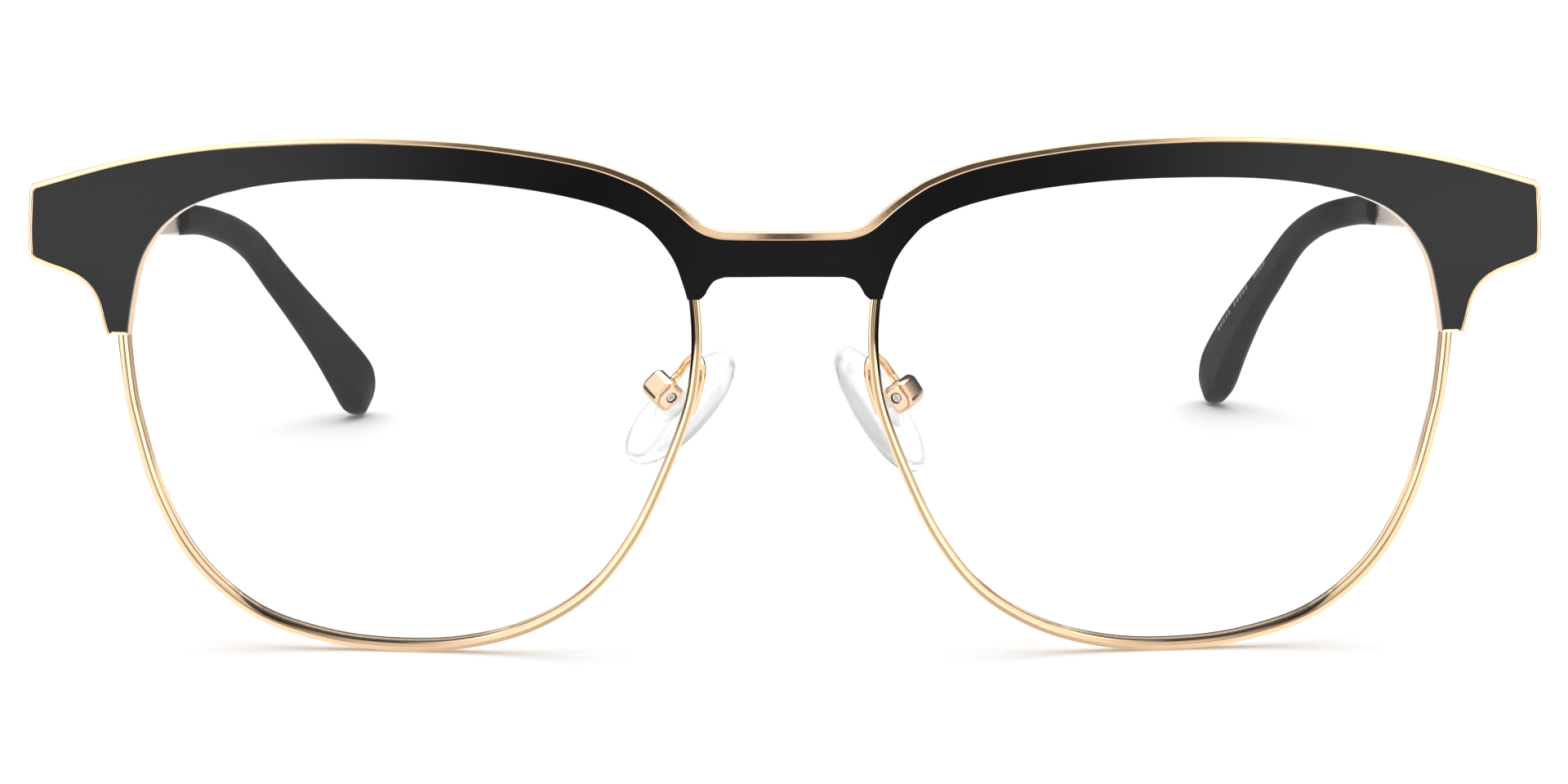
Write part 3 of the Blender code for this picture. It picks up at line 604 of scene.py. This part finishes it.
def brow():
    """Gold plate with its raised border, and the black enamel that fills the border."""
    lens_side = spline(BROW_LENS_SIDE, 5)
    nose_side = spline(BROW_NOSE_SIDE, 4) + [Vector(BRIDGE_UNDER)]
    run = gold_run()
    outline = both_halves(softened(run + lens_side + nose_side, PLATE_CORNER, closed=False))
    plate = slice_and_bend(prism(outline, LIP_DEPTH, PLATE_BACK, flat, round_high=PLATE_ROUND))
    piece("brow_gold", merged(plate, brow_lip(run)), GOLD, "front", ["brow_plate"],
          smooth=40.0)
    edge = [outer + (inner - outer) * (border_width(outer) + INLAY_GAP)
            for outer, inner in zip(run, inset(run, 1.0))]
    foot = lens_side[0]
    edge[-1].y = foot.y + FOOT_BORDER
    lens_edge = [Vector((foot.x, foot.y + FOOT_BORDER))] + lens_side[1:]
    black = both_halves(softened(edge + lens_edge + nose_side, INLAY_CORNER, closed=False))
    inlay = prism(black, INLAY_FRONT, INLAY_BACK, flat, round_low=INLAY_ROUND, segments=4)
    piece("brow_black", slice_and_bend(inlay), ENAMEL, "front", ["brow_inlay"],
          smooth=40.0)


def outward_normals(curve):
    count = len(curve)
    normals = []
    for i in range(count):
        travel = (curve[(i + 1) % count] - curve[i - 1]).normalized()
        normals.append(Vector((-travel.y, travel.x)))
    return normals


def rim_profile():
    """Section of the rim as (outward, depth): flat front, bevel towards the lens, groove."""
    half, middle = RIM_HALF_WIDTH, (RIM_FRONT + RIM_BACK) / 2
    front = [(-half, RIM_FRONT + 0.44), (-0.47, RIM_FRONT + 0.33), (-0.36, RIM_FRONT + 0.19),
             (-0.22, RIM_FRONT + 0.08), (-0.09, RIM_FRONT + 0.02), (0.04, RIM_FRONT),
             (0.30, RIM_FRONT + 0.01), (0.41, RIM_FRONT + 0.05), (0.475, RIM_FRONT + 0.12),
             (half, RIM_FRONT + 0.24)]
    return front + [(half, RIM_BACK - 0.15), (half - 0.12, RIM_BACK), (0.12 - half, RIM_BACK),
                    (-half, RIM_BACK - 0.15), (-half, middle + GROOVE_HALF_HEIGHT),
                    (GROOVE_DEPTH - half, middle), (-half, middle - GROOVE_HALF_HEIGHT + 0.3)]


def painted_shade_reach(point):
    """How far over the rim's bevel its painted shade reaches, at a point on the rim's line."""
    if point.y < PAINTED_SHADE_FOOT_TOP:
        at, (thin, full, end, width) = point.x, PAINTED_SHADE_FOOT
    elif point.x < PAINTED_SHADE_NOSE_SIDE:
        at, (thin, full, end, width) = point.y, PAINTED_SHADE_NOSE
    else:
        return 0.0
    rise = (at - thin) / (full - thin) if at < full else (end - at) / (end - full)
    return width * max(0.0, rise)


def eyewire(side, tag):
    """Metal rim swept round the lens, with the slit beside the rim lock."""
    curve = spline(RIM_LINE, 8, closed=True)
    normals = outward_normals(curve)
    start = curve[0] + (curve[1] - curve[0]).normalized() * RIM_SPLIT_HALF
    end = curve[0] + (curve[-1] - curve[0]).normalized() * RIM_SPLIT_HALF
    profile = rim_profile()
    rings = []
    shade = []
    for point, normal in zip([start] + curve[1:] + [end], normals + [normals[0]]):
        rings.append([bend(side * (point.x + normal.x * out), depth, point.y + normal.y * out)
                      for out, depth in profile])
        # Painted shade on the lens-side bevel, fading in along the rim and across the bevel.
        reach = painted_shade_reach(point)
        fade = min(1.0, reach / PAINTED_SHADE_EDGE)
        shade += [fade * min(1.0, max(0.0, (reach - RIM_HALF_WIDTH - out) / PAINTED_SHADE_EDGE + 0.5))
                  for out, depth in profile]
    rim = piece(f"rim_{tag}", loft(rings), RIM_GOLD, "front", [f"eyewire_{tag}"],
                smooth=30.0)
    rim.data.attributes.new(PAINTED_SHADE, "FLOAT", "POINT").data.foreach_set("value", shade)


def lens(side, tag):
    """Clear crowned lens with a V edge in the rim's groove."""
    curve = spline(RIM_LINE, 5, closed=True)
    normals = outward_normals(curve)
    centre = Vector(LENS_CENTRE)
    middle = (RIM_FRONT + RIM_BACK) / 2
    shoulder = -RIM_HALF_WIDTH - 0.06
    tip = GROOVE_DEPTH - RIM_HALF_WIDTH - 0.08
    slope = GROOVE_HALF_HEIGHT - 0.06
    back = LENS_FRONT + LENS_THICKNESS

    def ring(offset, scale, depth):
        crown = LENS_BULGE * (1 - scale * scale)
        points = []
        for point, normal in zip(curve, normals):
            at = centre + (point + normal * offset - centre) * scale
            points.append(bend(side * at.x, depth - crown, at.y))
        return points

    scales = [0.03] + [i / 12 for i in range(1, 13)]
    rings = [ring(shoulder, scale, LENS_FRONT) for scale in scales]
    rings += [ring(shoulder, 1.0, middle - slope), ring(tip, 1.0, middle),
              ring(shoulder, 1.0, middle + slope)]
    rings += [ring(shoulder, scale, back) for scale in reversed(scales)]
    piece(f"clear_lens_{tag}", loft(rings), LENS, "front", [f"lens_{tag}"],
          smooth=25.0)


# ---------------------------------------------------------------- nose pads

def pad_place(side, tag):
    """Returns place(width, along, face): pad-frame sizes to the design frame."""
    along, face, across = frame_axes(*PAD_DIRECTIONS[side])
    screw = (joint_point(f"pad_rock_{tag}") - ORIGIN) / MM
    screw.x *= side

    def place(width, length, out):
        at = screw + across * width + along * length + face * out
        return Vector((side * at.x, at.y, at.z))
    return place


def box_place(side, tag):
    """Returns place(along, face, width), for sections that are drawn from the box's side."""
    place = pad_place(side, tag)
    return lambda along, face, width: place(width, along, face)


def nose_pad(side, tag):
    """Soft oval pad, full at its edge and flat where it lies on the nose."""
    place = pad_place(side, tag)
    levels = [(0.30, 0.34, 2.40), (0.78, 0.85, 2.41), (0.90, 0.93, 2.50), (0.97, 0.98, 2.72),
              (1.0, 1.0, 3.05), (1.0, 1.0, 3.35), (0.975, 0.985, 3.75), (0.91, 0.945, 4.12),
              (0.80, 0.87, 4.42), (0.60, 0.72, 4.62), (0.3, 0.4, 4.66)]
    rings = []
    for wide, long, height in levels:
        rings.append([])
        for i in range(56):
            a = 2 * pi * i / 56
            width = PAD_HALF_WIDTH * wide * cos(a) * (1 - 0.06 * sin(a))
            rings[-1].append(place(width, PAD_HALF_LENGTH * long * sin(a) - PAD_DROP, height))
    piece(f"soft_pad_{tag}", loft(rings), SILICONE, f"pad_{tag}", [f"nose_pad_{tag}"],
          smooth=60.0)


def pad_insert(side, tag):
    """Hard clear plate on the pad's back, with the lug that the box screw passes through."""
    place = pad_place(side, tag)
    across = box_place(side, tag)
    rings = [[place(1.7 * scale * p.x, 2.7 * scale * p.y, level) for p in circle(1.0, 40)]
             for scale, level in ((0.92, 1.9), (1.0, 2.0), (1.0, 2.26), (0.94, 2.34))]
    lug_outline = softened([Vector(p) for p in ((-0.7, -0.75), (0.7, -0.75), (0.7, 1.92),
                                                (-0.7, 1.92))], 0.3)
    lug = prism(lug_outline, -0.65, 0.65, across, 0.1, 0.1)
    bore = lathe([(0.37, -2.0), (0.37, 2.0)], 24, across)
    piece(f"pad_plate_{tag}", merged(loft(rings), cut(lug, bore)), HARD_CLEAR, f"pad_{tag}",
          [f"pad_insert_{tag}"])


def pad_box(side, tag):
    """Rounded box with two cheeks; the pad's lug sits between them on the screw."""
    across = box_place(side, tag)
    outline = softened([Vector(p) for p in ((-1.6, 1.2), (BOX_TOP, 1.2), (BOX_TOP, -0.85),
                                            (BOX_TOP - 0.5, -1.35), (-1.0, -1.35),
                                            (-1.6, -0.75))], 0.7)
    pocket_outline = [Vector(p) for p in ((-1.1, 2.0), (1.0, 2.0), (1.0, -0.95), (-1.1, -0.95))]
    body = pillow(outline, -1.6, 1.6, 0.5, across)
    pocket = prism(pocket_outline, -0.75, 0.75, across)
    bore = lathe([(0.37, -2.0), (0.37, 1.0), (0.56, 1.0), (0.60, 2.0)], 28, across)
    piece(f"box_{tag}", cut(body, pocket, bore), ROSE_GOLD, "front", [f"pad_box_{tag}"])


def pad_screw(side, tag):
    """Small screw across the box, with a crossed slot in its head."""
    across = box_place(side, tag)
    shank = lathe([(PAD_SCREW_RADIUS, -1.55), (PAD_SCREW_RADIUS, 1.06), (0.42, 1.06),
                   (0.45, 1.12), (0.45, 1.42), (0.40, 1.5)], 28, across)
    slots = []
    for wide, tall in ((0.30, 0.05), (0.05, 0.30)):
        corners = [Vector(p) for p in ((-wide, -tall), (wide, -tall), (wide, tall),
                                       (-wide, tall))]
        slots.append(prism(corners, 1.36, 1.8, across))
    piece(f"box_screw_{tag}", cut(shank, *slots), STEEL, "front", [f"pad_screw_{tag}"])


def tube(route, radius, count):
    rings = []
    side = Vector((0, 0, 1))
    for i, point in enumerate(route):
        travel = (route[min(i + 1, len(route) - 1)] - route[max(i - 1, 0)]).normalized()
        side = (side - side.dot(travel) * travel).normalized()
        up = travel.cross(side)
        rings.append([point + side * p.x + up * p.y for p in circle(radius, count)])
    return loft(rings)


def pad_arm(side, tag):
    """Wire arm from the pad box over and down behind the rim, where it is brazed."""
    place = pad_place(side, tag)
    route = [place(0, BOX_TOP + distance, 0) for distance in (0.02, 0.9)]
    route += [bend(side * x, y, z) for x, y, z in ARM_ROUTE]
    piece(f"arm_{tag}", tube(spline(route, 8), ARM_RADIUS, 20), GOLD, "front",
          [f"pad_arm_{tag}"], smooth=60.0)


# ---------------------------------------------------------------- temples and hinges

def hinge_place(side):
    """Returns place(u, v, w): hinge-frame sizes to the design frame."""
    centre = Vector(HINGE)
    back = Vector((0, cos(TEMPLE_SLOPE), -sin(TEMPLE_SLOPE)))
    axis = Vector((0, sin(TEMPLE_SLOPE), cos(TEMPLE_SLOPE)))

    def place(u, v, w):
        at = centre + Vector((u, 0, 0)) + back * v + axis * w
        return Vector((side * at.x, at.y, at.z))
    return place


def arc(radius, first, last, count):
    angles = [radians(first + (last - first) * i / count) for i in range(count + 1)]
    return [Vector((radius * cos(angle), radius * sin(angle))) for angle in angles]


def hinge_bore(place):
    return lathe([(HINGE_BORE_RADIUS, -3.0), (HINGE_BORE_RADIUS, 3.0)], 40, place)


def hinge_front_leaf(side, tag):
    """Leaf brazed behind the endpiece, with the upper and lower knuckles."""
    place = hinge_place(side)
    inner, outer = -4.0, 1.1
    front, back = -2.5, -1.5
    neck = sqrt(KNUCKLE_RADIUS ** 2 - outer ** 2)
    outline = [Vector((inner, front + FRONT_TURN * inner)),
               Vector((outer, front + FRONT_TURN * outer)), Vector((outer, -neck))]
    outline += arc(KNUCKLE_RADIUS, -30.0, 210.0, 36)
    outline += [Vector((-outer, -neck)), Vector((-outer, back - FRONT_TURN * outer)),
                Vector((inner, back + FRONT_TURN * inner))]
    above = [Vector(p) for p in ((-2.0, -0.4), (2.0, -0.4), (2.0, 2.0), (-2.0, 2.0))]
    leaf = cut(prism(outline, -KNUCKLE_HALF, KNUCKLE_HALF, place, 0.15, 0.15),
               prism(circle(KNUCKLE_RADIUS + 0.1, 48), -MIDDLE_HALF, MIDDLE_HALF, place),
               prism(above, -MIDDLE_HALF, MIDDLE_HALF, place), hinge_bore(place))
    piece(f"leaf_front_{tag}", leaf, GOLD, "front", [f"hinge_front_leaf_{tag}"])


def hinge_temple_leaf(side, tag):
    """Leaf brazed inside the temple bar, with the middle knuckle."""
    place = hinge_place(side)
    outer, reach, half = BAR_INNER - 0.02, 8.0, 1.75
    middle = MIDDLE_HALF - KNUCKLE_PLAY
    meet = sqrt(KNUCKLE_RADIUS ** 2 - LEAF_INNER ** 2)
    outline = [Vector((outer, -0.6)), Vector((outer, reach)), Vector((LEAF_INNER + 0.3, reach)),
               Vector((LEAF_INNER, reach - 0.3)), Vector((LEAF_INNER, meet))]
    outline += arc(KNUCKLE_RADIUS, 65.0, 330.0, 40)
    room = [Vector(p) for p in ((-2.0, -2.0), (2.0, -2.0), (2.0, 1.6), (-2.0, 1.6))]
    leaf = cut(prism(outline, -half, half, place, 0.15, 0.15),
               prism(room, middle, half + 1, place), prism(room, -half - 1, -middle, place),
               hinge_bore(place))
    piece(f"leaf_temple_{tag}", leaf, GOLD, f"temple_{tag}", [f"hinge_temple_leaf_{tag}"])


def hinge_screw(side, tag):
    """Slotted screw down through the three knuckles."""
    place = hinge_place(side)
    top = KNUCKLE_HALF + 0.06
    shank = lathe([(HINGE_SCREW_RADIUS, -2.3), (HINGE_SCREW_RADIUS, top), (0.94, top),
                   (1.0, top + 0.06), (1.0, top + 0.26), (0.93, top + 0.40),
                   (0.75, top + 0.49)], 40, place)
    corners = [Vector(p) for p in ((-1.2, -0.13), (1.2, -0.13), (1.2, 0.13), (-1.2, 0.13))]
    slot = prism(corners, top + 0.24, top + 1, place)
    piece(f"fold_screw_{tag}", cut(shank, slot), STEEL, "front", [f"hinge_screw_{tag}"])


def rounded_box(width, height, corner, steps=3):
    """A rectangle with round corners, as (across, up) points."""
    points = []
    for turn, (x, y) in enumerate(((1, 1), (-1, 1), (-1, -1), (1, -1))):
        for i in range(steps + 1):
            angle = pi / 2 * (turn + i / steps)
            points.append(Vector((x * (width / 2 - corner) + corner * cos(angle),
                                  y * (height / 2 - corner) + corner * sin(angle))))
    return points


def ridged_box(width, height, corner):
    """A rectangle with cut and softened corners: the sleeve has a faint ridge at each."""
    a, b = width / 2, height / 2
    square = [Vector(p) for p in ((a, corner - b), (a, b - corner), (a - corner, b),
                                  (corner - a, b), (-a, b - corner), (-a, corner - b),
                                  (corner - a, -b), (a - corner, -b))]
    return softened(square, 0.45, sharpest=0.2)


def section(centre, travel, shape, lean=0.0):
    """Places a section square to the travel direction, leaning in from upright."""
    across = Vector((1, 0, 0))
    across = (across - across.dot(travel) * travel).normalized()
    up = across.cross(travel)
    if up.z < 0:
        up.negate()
    across, up = across * cos(lean) + up * sin(lean), up * cos(lean) - across * sin(lean)
    return [centre + across * p.x + up * p.y for p in shape]


def mirrored(rings, side):
    return [[Vector((side * p.x, p.y, p.z)) for p in ring] for ring in rings]


def temple_bar(side, tag):
    """Flat metal bar from the hinge to the black tip."""
    place = hinge_place(1)
    stations = TIP_STATIONS[side]
    mouth, beyond = Vector(stations[0][:3]), Vector(stations[1][:3])
    travel = (beyond - mouth).normalized()
    middle = BAR_INNER + BAR_THICKNESS / 2
    hinge_end, blend_end = place(middle, -1.8, 0), place(middle, 9.0, 0)
    waist = blend_end.lerp(mouth, 0.2)
    straight = place(0, 1, 0) - place(0, 0, 0)
    heights = [(0.94, BAR_HINGE_HEIGHT - 0.3, hinge_end), (1.2, BAR_HINGE_HEIGHT - 0.08,
               hinge_end + straight * 0.08), (BAR_THICKNESS, BAR_HINGE_HEIGHT,
               hinge_end + straight * 0.3), (BAR_THICKNESS, BAR_HINGE_HEIGHT, blend_end)]
    rings = [section(centre, straight, rounded_box(wide, tall, 0.28))
             for wide, tall, centre in heights]
    for t in (0.25, 0.5, 0.75, 1.0):
        ease = t * t * (3 - 2 * t)
        tall = BAR_HINGE_HEIGHT + (BAR_HEIGHT - BAR_HINGE_HEIGHT) * ease
        rings.append(section(blend_end.lerp(waist, t), straight,
                             rounded_box(BAR_THICKNESS, tall, 0.28)))
    rings.append(section(mouth - travel * 0.02, travel,
                         rounded_box(BAR_THICKNESS, BAR_HEIGHT, 0.28)))
    piece(f"bar_{tag}", loft(mirrored(rings, side)), PALE_GOLD, f"temple_{tag}",
          [f"temple_bar_{tag}"], smooth=50.0)


def temple_tip(side, tag):
    """Black sleeve, bent down behind the ear and widened to a blunt end."""
    fine = spline(TIP_STATIONS[side], TIP_STEPS)
    centres = [Vector(station[:3]) for station in fine]
    rings = []
    last = len(fine) - 1
    for i, station in enumerate(fine):
        travel = (centres[min(i + 1, last)] - centres[max(i - 1, 0)]).normalized()
        lean = TIP_LEAN[side] * min(1.0, i / TIP_STEPS / LEAN_STATIONS)
        width, height = station[3], station[4]
        if i == 0:
            for scale, along in ((0.62, 0.0), (0.80, 0.05), (0.92, 0.22), (0.98, 0.5)):
                rings.append(section(centres[0] + travel * along, travel,
                                     ridged_box(scale * width, (0.25 + 0.75 * scale) * height,
                                                0.28 * scale * width), lean))
            continue
        rings.append(section(centres[i], travel, ridged_box(width, height, 0.3 * width), lean))
    closing = (centres[last] - centres[last - 1]).normalized()
    rings.append(section(centres[last] + closing * 0.25, closing,
                         ridged_box(0.55 * fine[last][3], 0.6 * fine[last][4],
                                    0.12 * fine[last][3]), TIP_LEAN[side]))
    piece(f"tip_{tag}", loft(mirrored(rings, side)), ACETATE, f"temple_{tag}",
          [f"temple_tip_{tag}"], smooth=60.0)
    if side == 1:
        tip_marks(fine, centres, tag)


def tip_marks(fine, centres, tag):
    """Plain pale dashes on the tip's inner face, in place of the maker's small print."""
    half_height, lift, skin = 0.26, 0.235, 0.012
    marks = bmesh.new()
    first, spacing, count = 24.3, 0.7, 17
    for i in range(count):
        if i in (4, 5, 11):
            continue
        corners = []
        for at in (first + spacing * i, first + spacing * (i + 0.6)):
            low = int(at)
            station = fine[low].lerp(fine[low + 1], at - low)
            travel = (centres[low + 2] - centres[low - 1]).normalized()
            lean = TIP_LEAN[1] * min(1.0, at / TIP_STEPS / LEAN_STATIONS)
            middle = Vector(station[:3])
            for offset in (lift * station[4] - half_height, lift * station[4] + half_height):
                shape = [Vector((-station[3] / 2 - skin, offset)),
                         Vector((-station[3] / 2 + 0.1, offset))]
                corners += section(middle, travel, shape, lean)
        a, b, c, d, e, f, g, h = (marks.verts.new(p) for p in corners)
        for face in ((a, c, g, e), (b, f, h, d), (a, b, d, c), (e, g, h, f), (a, e, f, b),
                     (c, d, h, g)):
            marks.faces.new(face)
    piece(f"tip_marks_{tag}", marks, INK, f"temple_{tag}")


def carried_over(tag):
    """The small blocks and screw beside each rim's split stay as CAD nodes."""
    for name, material in ((f"rim_lock_lower_{tag}", GOLD), (f"rim_lock_upper_{tag}", GOLD),
                           (f"rim_lock_screw_{tag}", STEEL)):
        node = FRAME["nodes"][name]
        for slot in node.material_slots:
            slot.material = material


# ---------------------------------------------------------------- stage, light, camera

WORLD_LIGHT = 0.75
CAMERA_DISTANCE = 0.470
CAMERA_ELEVATION = radians(10.0)
CAMERA_TARGET = (-0.1, 0.0, 26.0)     # design frame, mm
CAMERA_LENS = 113.94                  # on a 36 mm wide sensor
CAMERA_ROLL = radians(-0.12)


def camera():
    back = Vector((0, -cos(CAMERA_ELEVATION), sin(CAMERA_ELEVATION)))
    data = bpy.data.cameras.new("camera")
    data.lens = CAMERA_LENS
    data.sensor_width = 36.0
    data.clip_start = 0.01
    eye = bpy.data.objects.new("camera", data)
    eye.location = ORIGIN + Vector(CAMERA_TARGET) * MM + back * CAMERA_DISTANCE
    turn = back.to_track_quat("Z", "Y").to_matrix()
    eye.rotation_euler = (turn @ Matrix.Rotation(CAMERA_ROLL, 3, "Z")).to_euler()
    bpy.context.scene.collection.objects.link(eye)
    bpy.context.scene.camera = eye


def floor():
    solid = bmesh.new()
    reach = 3.0
    corners = [solid.verts.new(p) for p in ((-reach, -reach, 0), (reach, -reach, 0),
                                            (reach, reach, 0), (-reach, reach, 0))]
    solid.faces.new(corners)
    mesh = bpy.data.meshes.new("floor")
    solid.to_mesh(mesh)
    solid.free()
    nodes = Nodes("floor_white")
    tone = nodes.noise(nodes.coordinates(), 3.0)
    colour = nodes.ramp(tone, [(0.3, (0.93, 0.93, 0.93)), (0.7, (0.95, 0.95, 0.95))])
    nodes.join(colour, nodes.shader.inputs["Base Color"])
    nodes.shader.inputs["Roughness"].default_value = 0.9
    nodes.shader.inputs["Specular IOR Level"].default_value = 0.1
    mesh.materials.append(nodes.material)
    ground = bpy.data.objects.new("floor", mesh)
    ground.location.z = -0.00005
    ground.visible_glossy = False     # the gloss mirrors the table laid out in studio()
    bpy.context.scene.collection.objects.link(ground)


def lamp(name, place, target, size, power):
    """Soft square light aimed at a point."""
    data = bpy.data.lights.new(name, "AREA")
    data.shape = "SQUARE"
    data.size = size
    data.energy = power
    light = bpy.data.objects.new(name, data)
    light.location = place
    light.rotation_euler = (Vector(place) - Vector(target)).to_track_quat("Z", "Y").to_euler()
    light.visible_camera = False
    bpy.context.scene.collection.objects.link(light)


def studio():
    """Pale surroundings; what the gloss mirrors is laid out by direction, as in a light tent.

    Below the horizon lies the white table, dimmer towards the camera. Near the horizon come
    the dark lens opening, two bright panels in front, dark gaps at the sides and the white
    sweep behind; higher up are side panels, a dark gap behind, and the light above.
    """
    world = bpy.data.worlds.new("studio")
    bpy.context.scene.world = world
    world.use_nodes = True
    tree = world.node_tree
    ground = tree.nodes["Background"]

    def math(operation, a, b=0.0):
        node = tree.nodes.new("ShaderNodeMath")
        node.operation = operation
        for socket, value in zip(node.inputs, (a, b)):
            if isinstance(value, float):
                socket.default_value = value
            else:
                tree.links.new(value, socket)
        return node.outputs[0]

    def fade(value, start, end, low, high):
        node = tree.nodes.new("ShaderNodeMapRange")
        node.interpolation_type = "SMOOTHSTEP"
        for name, setting in zip(("From Min", "From Max", "To Min", "To Max"),
                                 (start, end, low, high)):
            node.inputs[name].default_value = setting
        tree.links.new(value, node.inputs["Value"])
        return node.outputs["Result"]

    def mix(factor, a, b):
        """a where the factor is 0, b where it is 1."""
        return math("ADD", math("MULTIPLY", math("SUBTRACT", 1.0, factor), a),
                    math("MULTIPLY", factor, b))

    place = tree.nodes.new("ShaderNodeTexCoord")
    split = tree.nodes.new("ShaderNodeSeparateXYZ")
    tree.links.new(place.outputs["Generated"], split.inputs["Vector"])
    side = math("ABSOLUTE", split.outputs["X"])
    back = split.outputs["Y"]
    up = split.outputs["Z"]

    # Near the horizon, from the middle of the front outwards and round to the back.
    opening = fade(side, 0.016, 0.026, 0.10, 1.0)
    collar = math("MULTIPLY", opening, fade(side, 0.066, 0.085, 1.0, 0.10))
    panels = math("MAXIMUM", collar, fade(side, 0.23, 0.40, 0.06, 1.95))
    past_front = fade(back, -0.42, -0.22, 0.0, 1.0)
    level = mix(past_front, panels, 0.07)
    level = mix(fade(back, 0.45, 0.75, 0.0, 1.0), level, 1.0)

    # The table below, and the panels, the dark gap and the light above.
    below = mix(fade(back, -0.2, 0.3, 0.0, 1.0), fade(side, 0.10, 0.50, 0.68, 1.35), 1.0)
    above = mix(fade(back, 0.2, 0.6, 0.0, 1.0), fade(side, 0.2, 0.6, 0.75, 1.3), 0.05)
    top = 1.3

    # The four layers, from the table up; the dark gaps at the sides reach a little lower.
    side_gap = math("MULTIPLY", past_front, fade(back, 0.45, 0.75, 1.0, 0.0))
    horizon = math("ADD", up, math("MULTIPLY", side_gap, 0.10))
    pattern = mix(fade(horizon, -0.15, -0.07, 0.0, 1.0), below, level)
    pattern = mix(fade(up, 0.10, 0.20, 0.0, 1.0), pattern, above)
    pattern = mix(fade(up, 0.60, 0.80, 0.0, 1.0), pattern, top)

    path = tree.nodes.new("ShaderNodeLightPath")
    plain = mix(path.outputs["Is Glossy Ray"], WORLD_LIGHT, pattern)
    strength = mix(path.outputs["Is Camera Ray"], plain, 1.0)
    tree.links.new(strength, ground.inputs["Strength"])
    ground.inputs["Color"].default_value = (1.0, 1.0, 1.0, 1.0)

    lamp("light_above", (0.0, 0.1, 0.9), (0.0, 0.0, 0.02), 1.2, 6.0)
    bpy.context.scene.view_settings.view_transform = "Standard"


# ---------------------------------------------------------------- assembly

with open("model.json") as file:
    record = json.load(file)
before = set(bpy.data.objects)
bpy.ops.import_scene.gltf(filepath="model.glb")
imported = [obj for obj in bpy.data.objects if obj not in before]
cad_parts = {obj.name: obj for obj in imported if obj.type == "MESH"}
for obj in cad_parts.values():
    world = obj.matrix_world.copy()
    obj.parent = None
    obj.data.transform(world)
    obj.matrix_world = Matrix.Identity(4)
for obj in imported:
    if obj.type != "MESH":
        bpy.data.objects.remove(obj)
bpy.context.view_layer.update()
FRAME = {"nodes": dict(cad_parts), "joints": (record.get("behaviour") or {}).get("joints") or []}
ORIGIN = joint_point("temple_fold_left") - Vector(HINGE) * MM

GOLD = gold("gold_plating")
ROSE_GOLD = gold("gold_warm", (0.86, 0.60, 0.41), (0.05, 0.10))
# The rim's gold carries a painted shade: a dark brown tint on its lens-side bevel.
RIM_GOLD = gold("gold_rim_painted_shade", dark=(0.030, 0.021, 0.013))
PALE_GOLD = gold("gold_rose", (0.84, 0.72, 0.62), (0.20, 0.30))
ENAMEL = enamel()
ACETATE = acetate()
INK = ink()
STEEL = steel()
LENS = see_through("lens_clear", (0.96, 0.98, 1.0), 0.02, 0.16, (0.02, 0.04), 60.0)
SILICONE = clear_moulding("silicone_clear", (0.97, 0.98, 1.0), 1.40, (0.02, 0.07), 0.48)
HARD_CLEAR = clear_moulding("plate_clear", (0.97, 0.975, 0.98), 1.49, (0.01, 0.04), 0.30)

brow()
for one_side, one_tag in SIDES:
    for make in (eyewire, lens, pad_arm, pad_box, pad_screw, nose_pad, pad_insert,
                 hinge_front_leaf, hinge_screw, hinge_temple_leaf, temple_bar, temple_tip):
        make(one_side, one_tag)
    carried_over(one_tag)
floor()
studio()
camera()
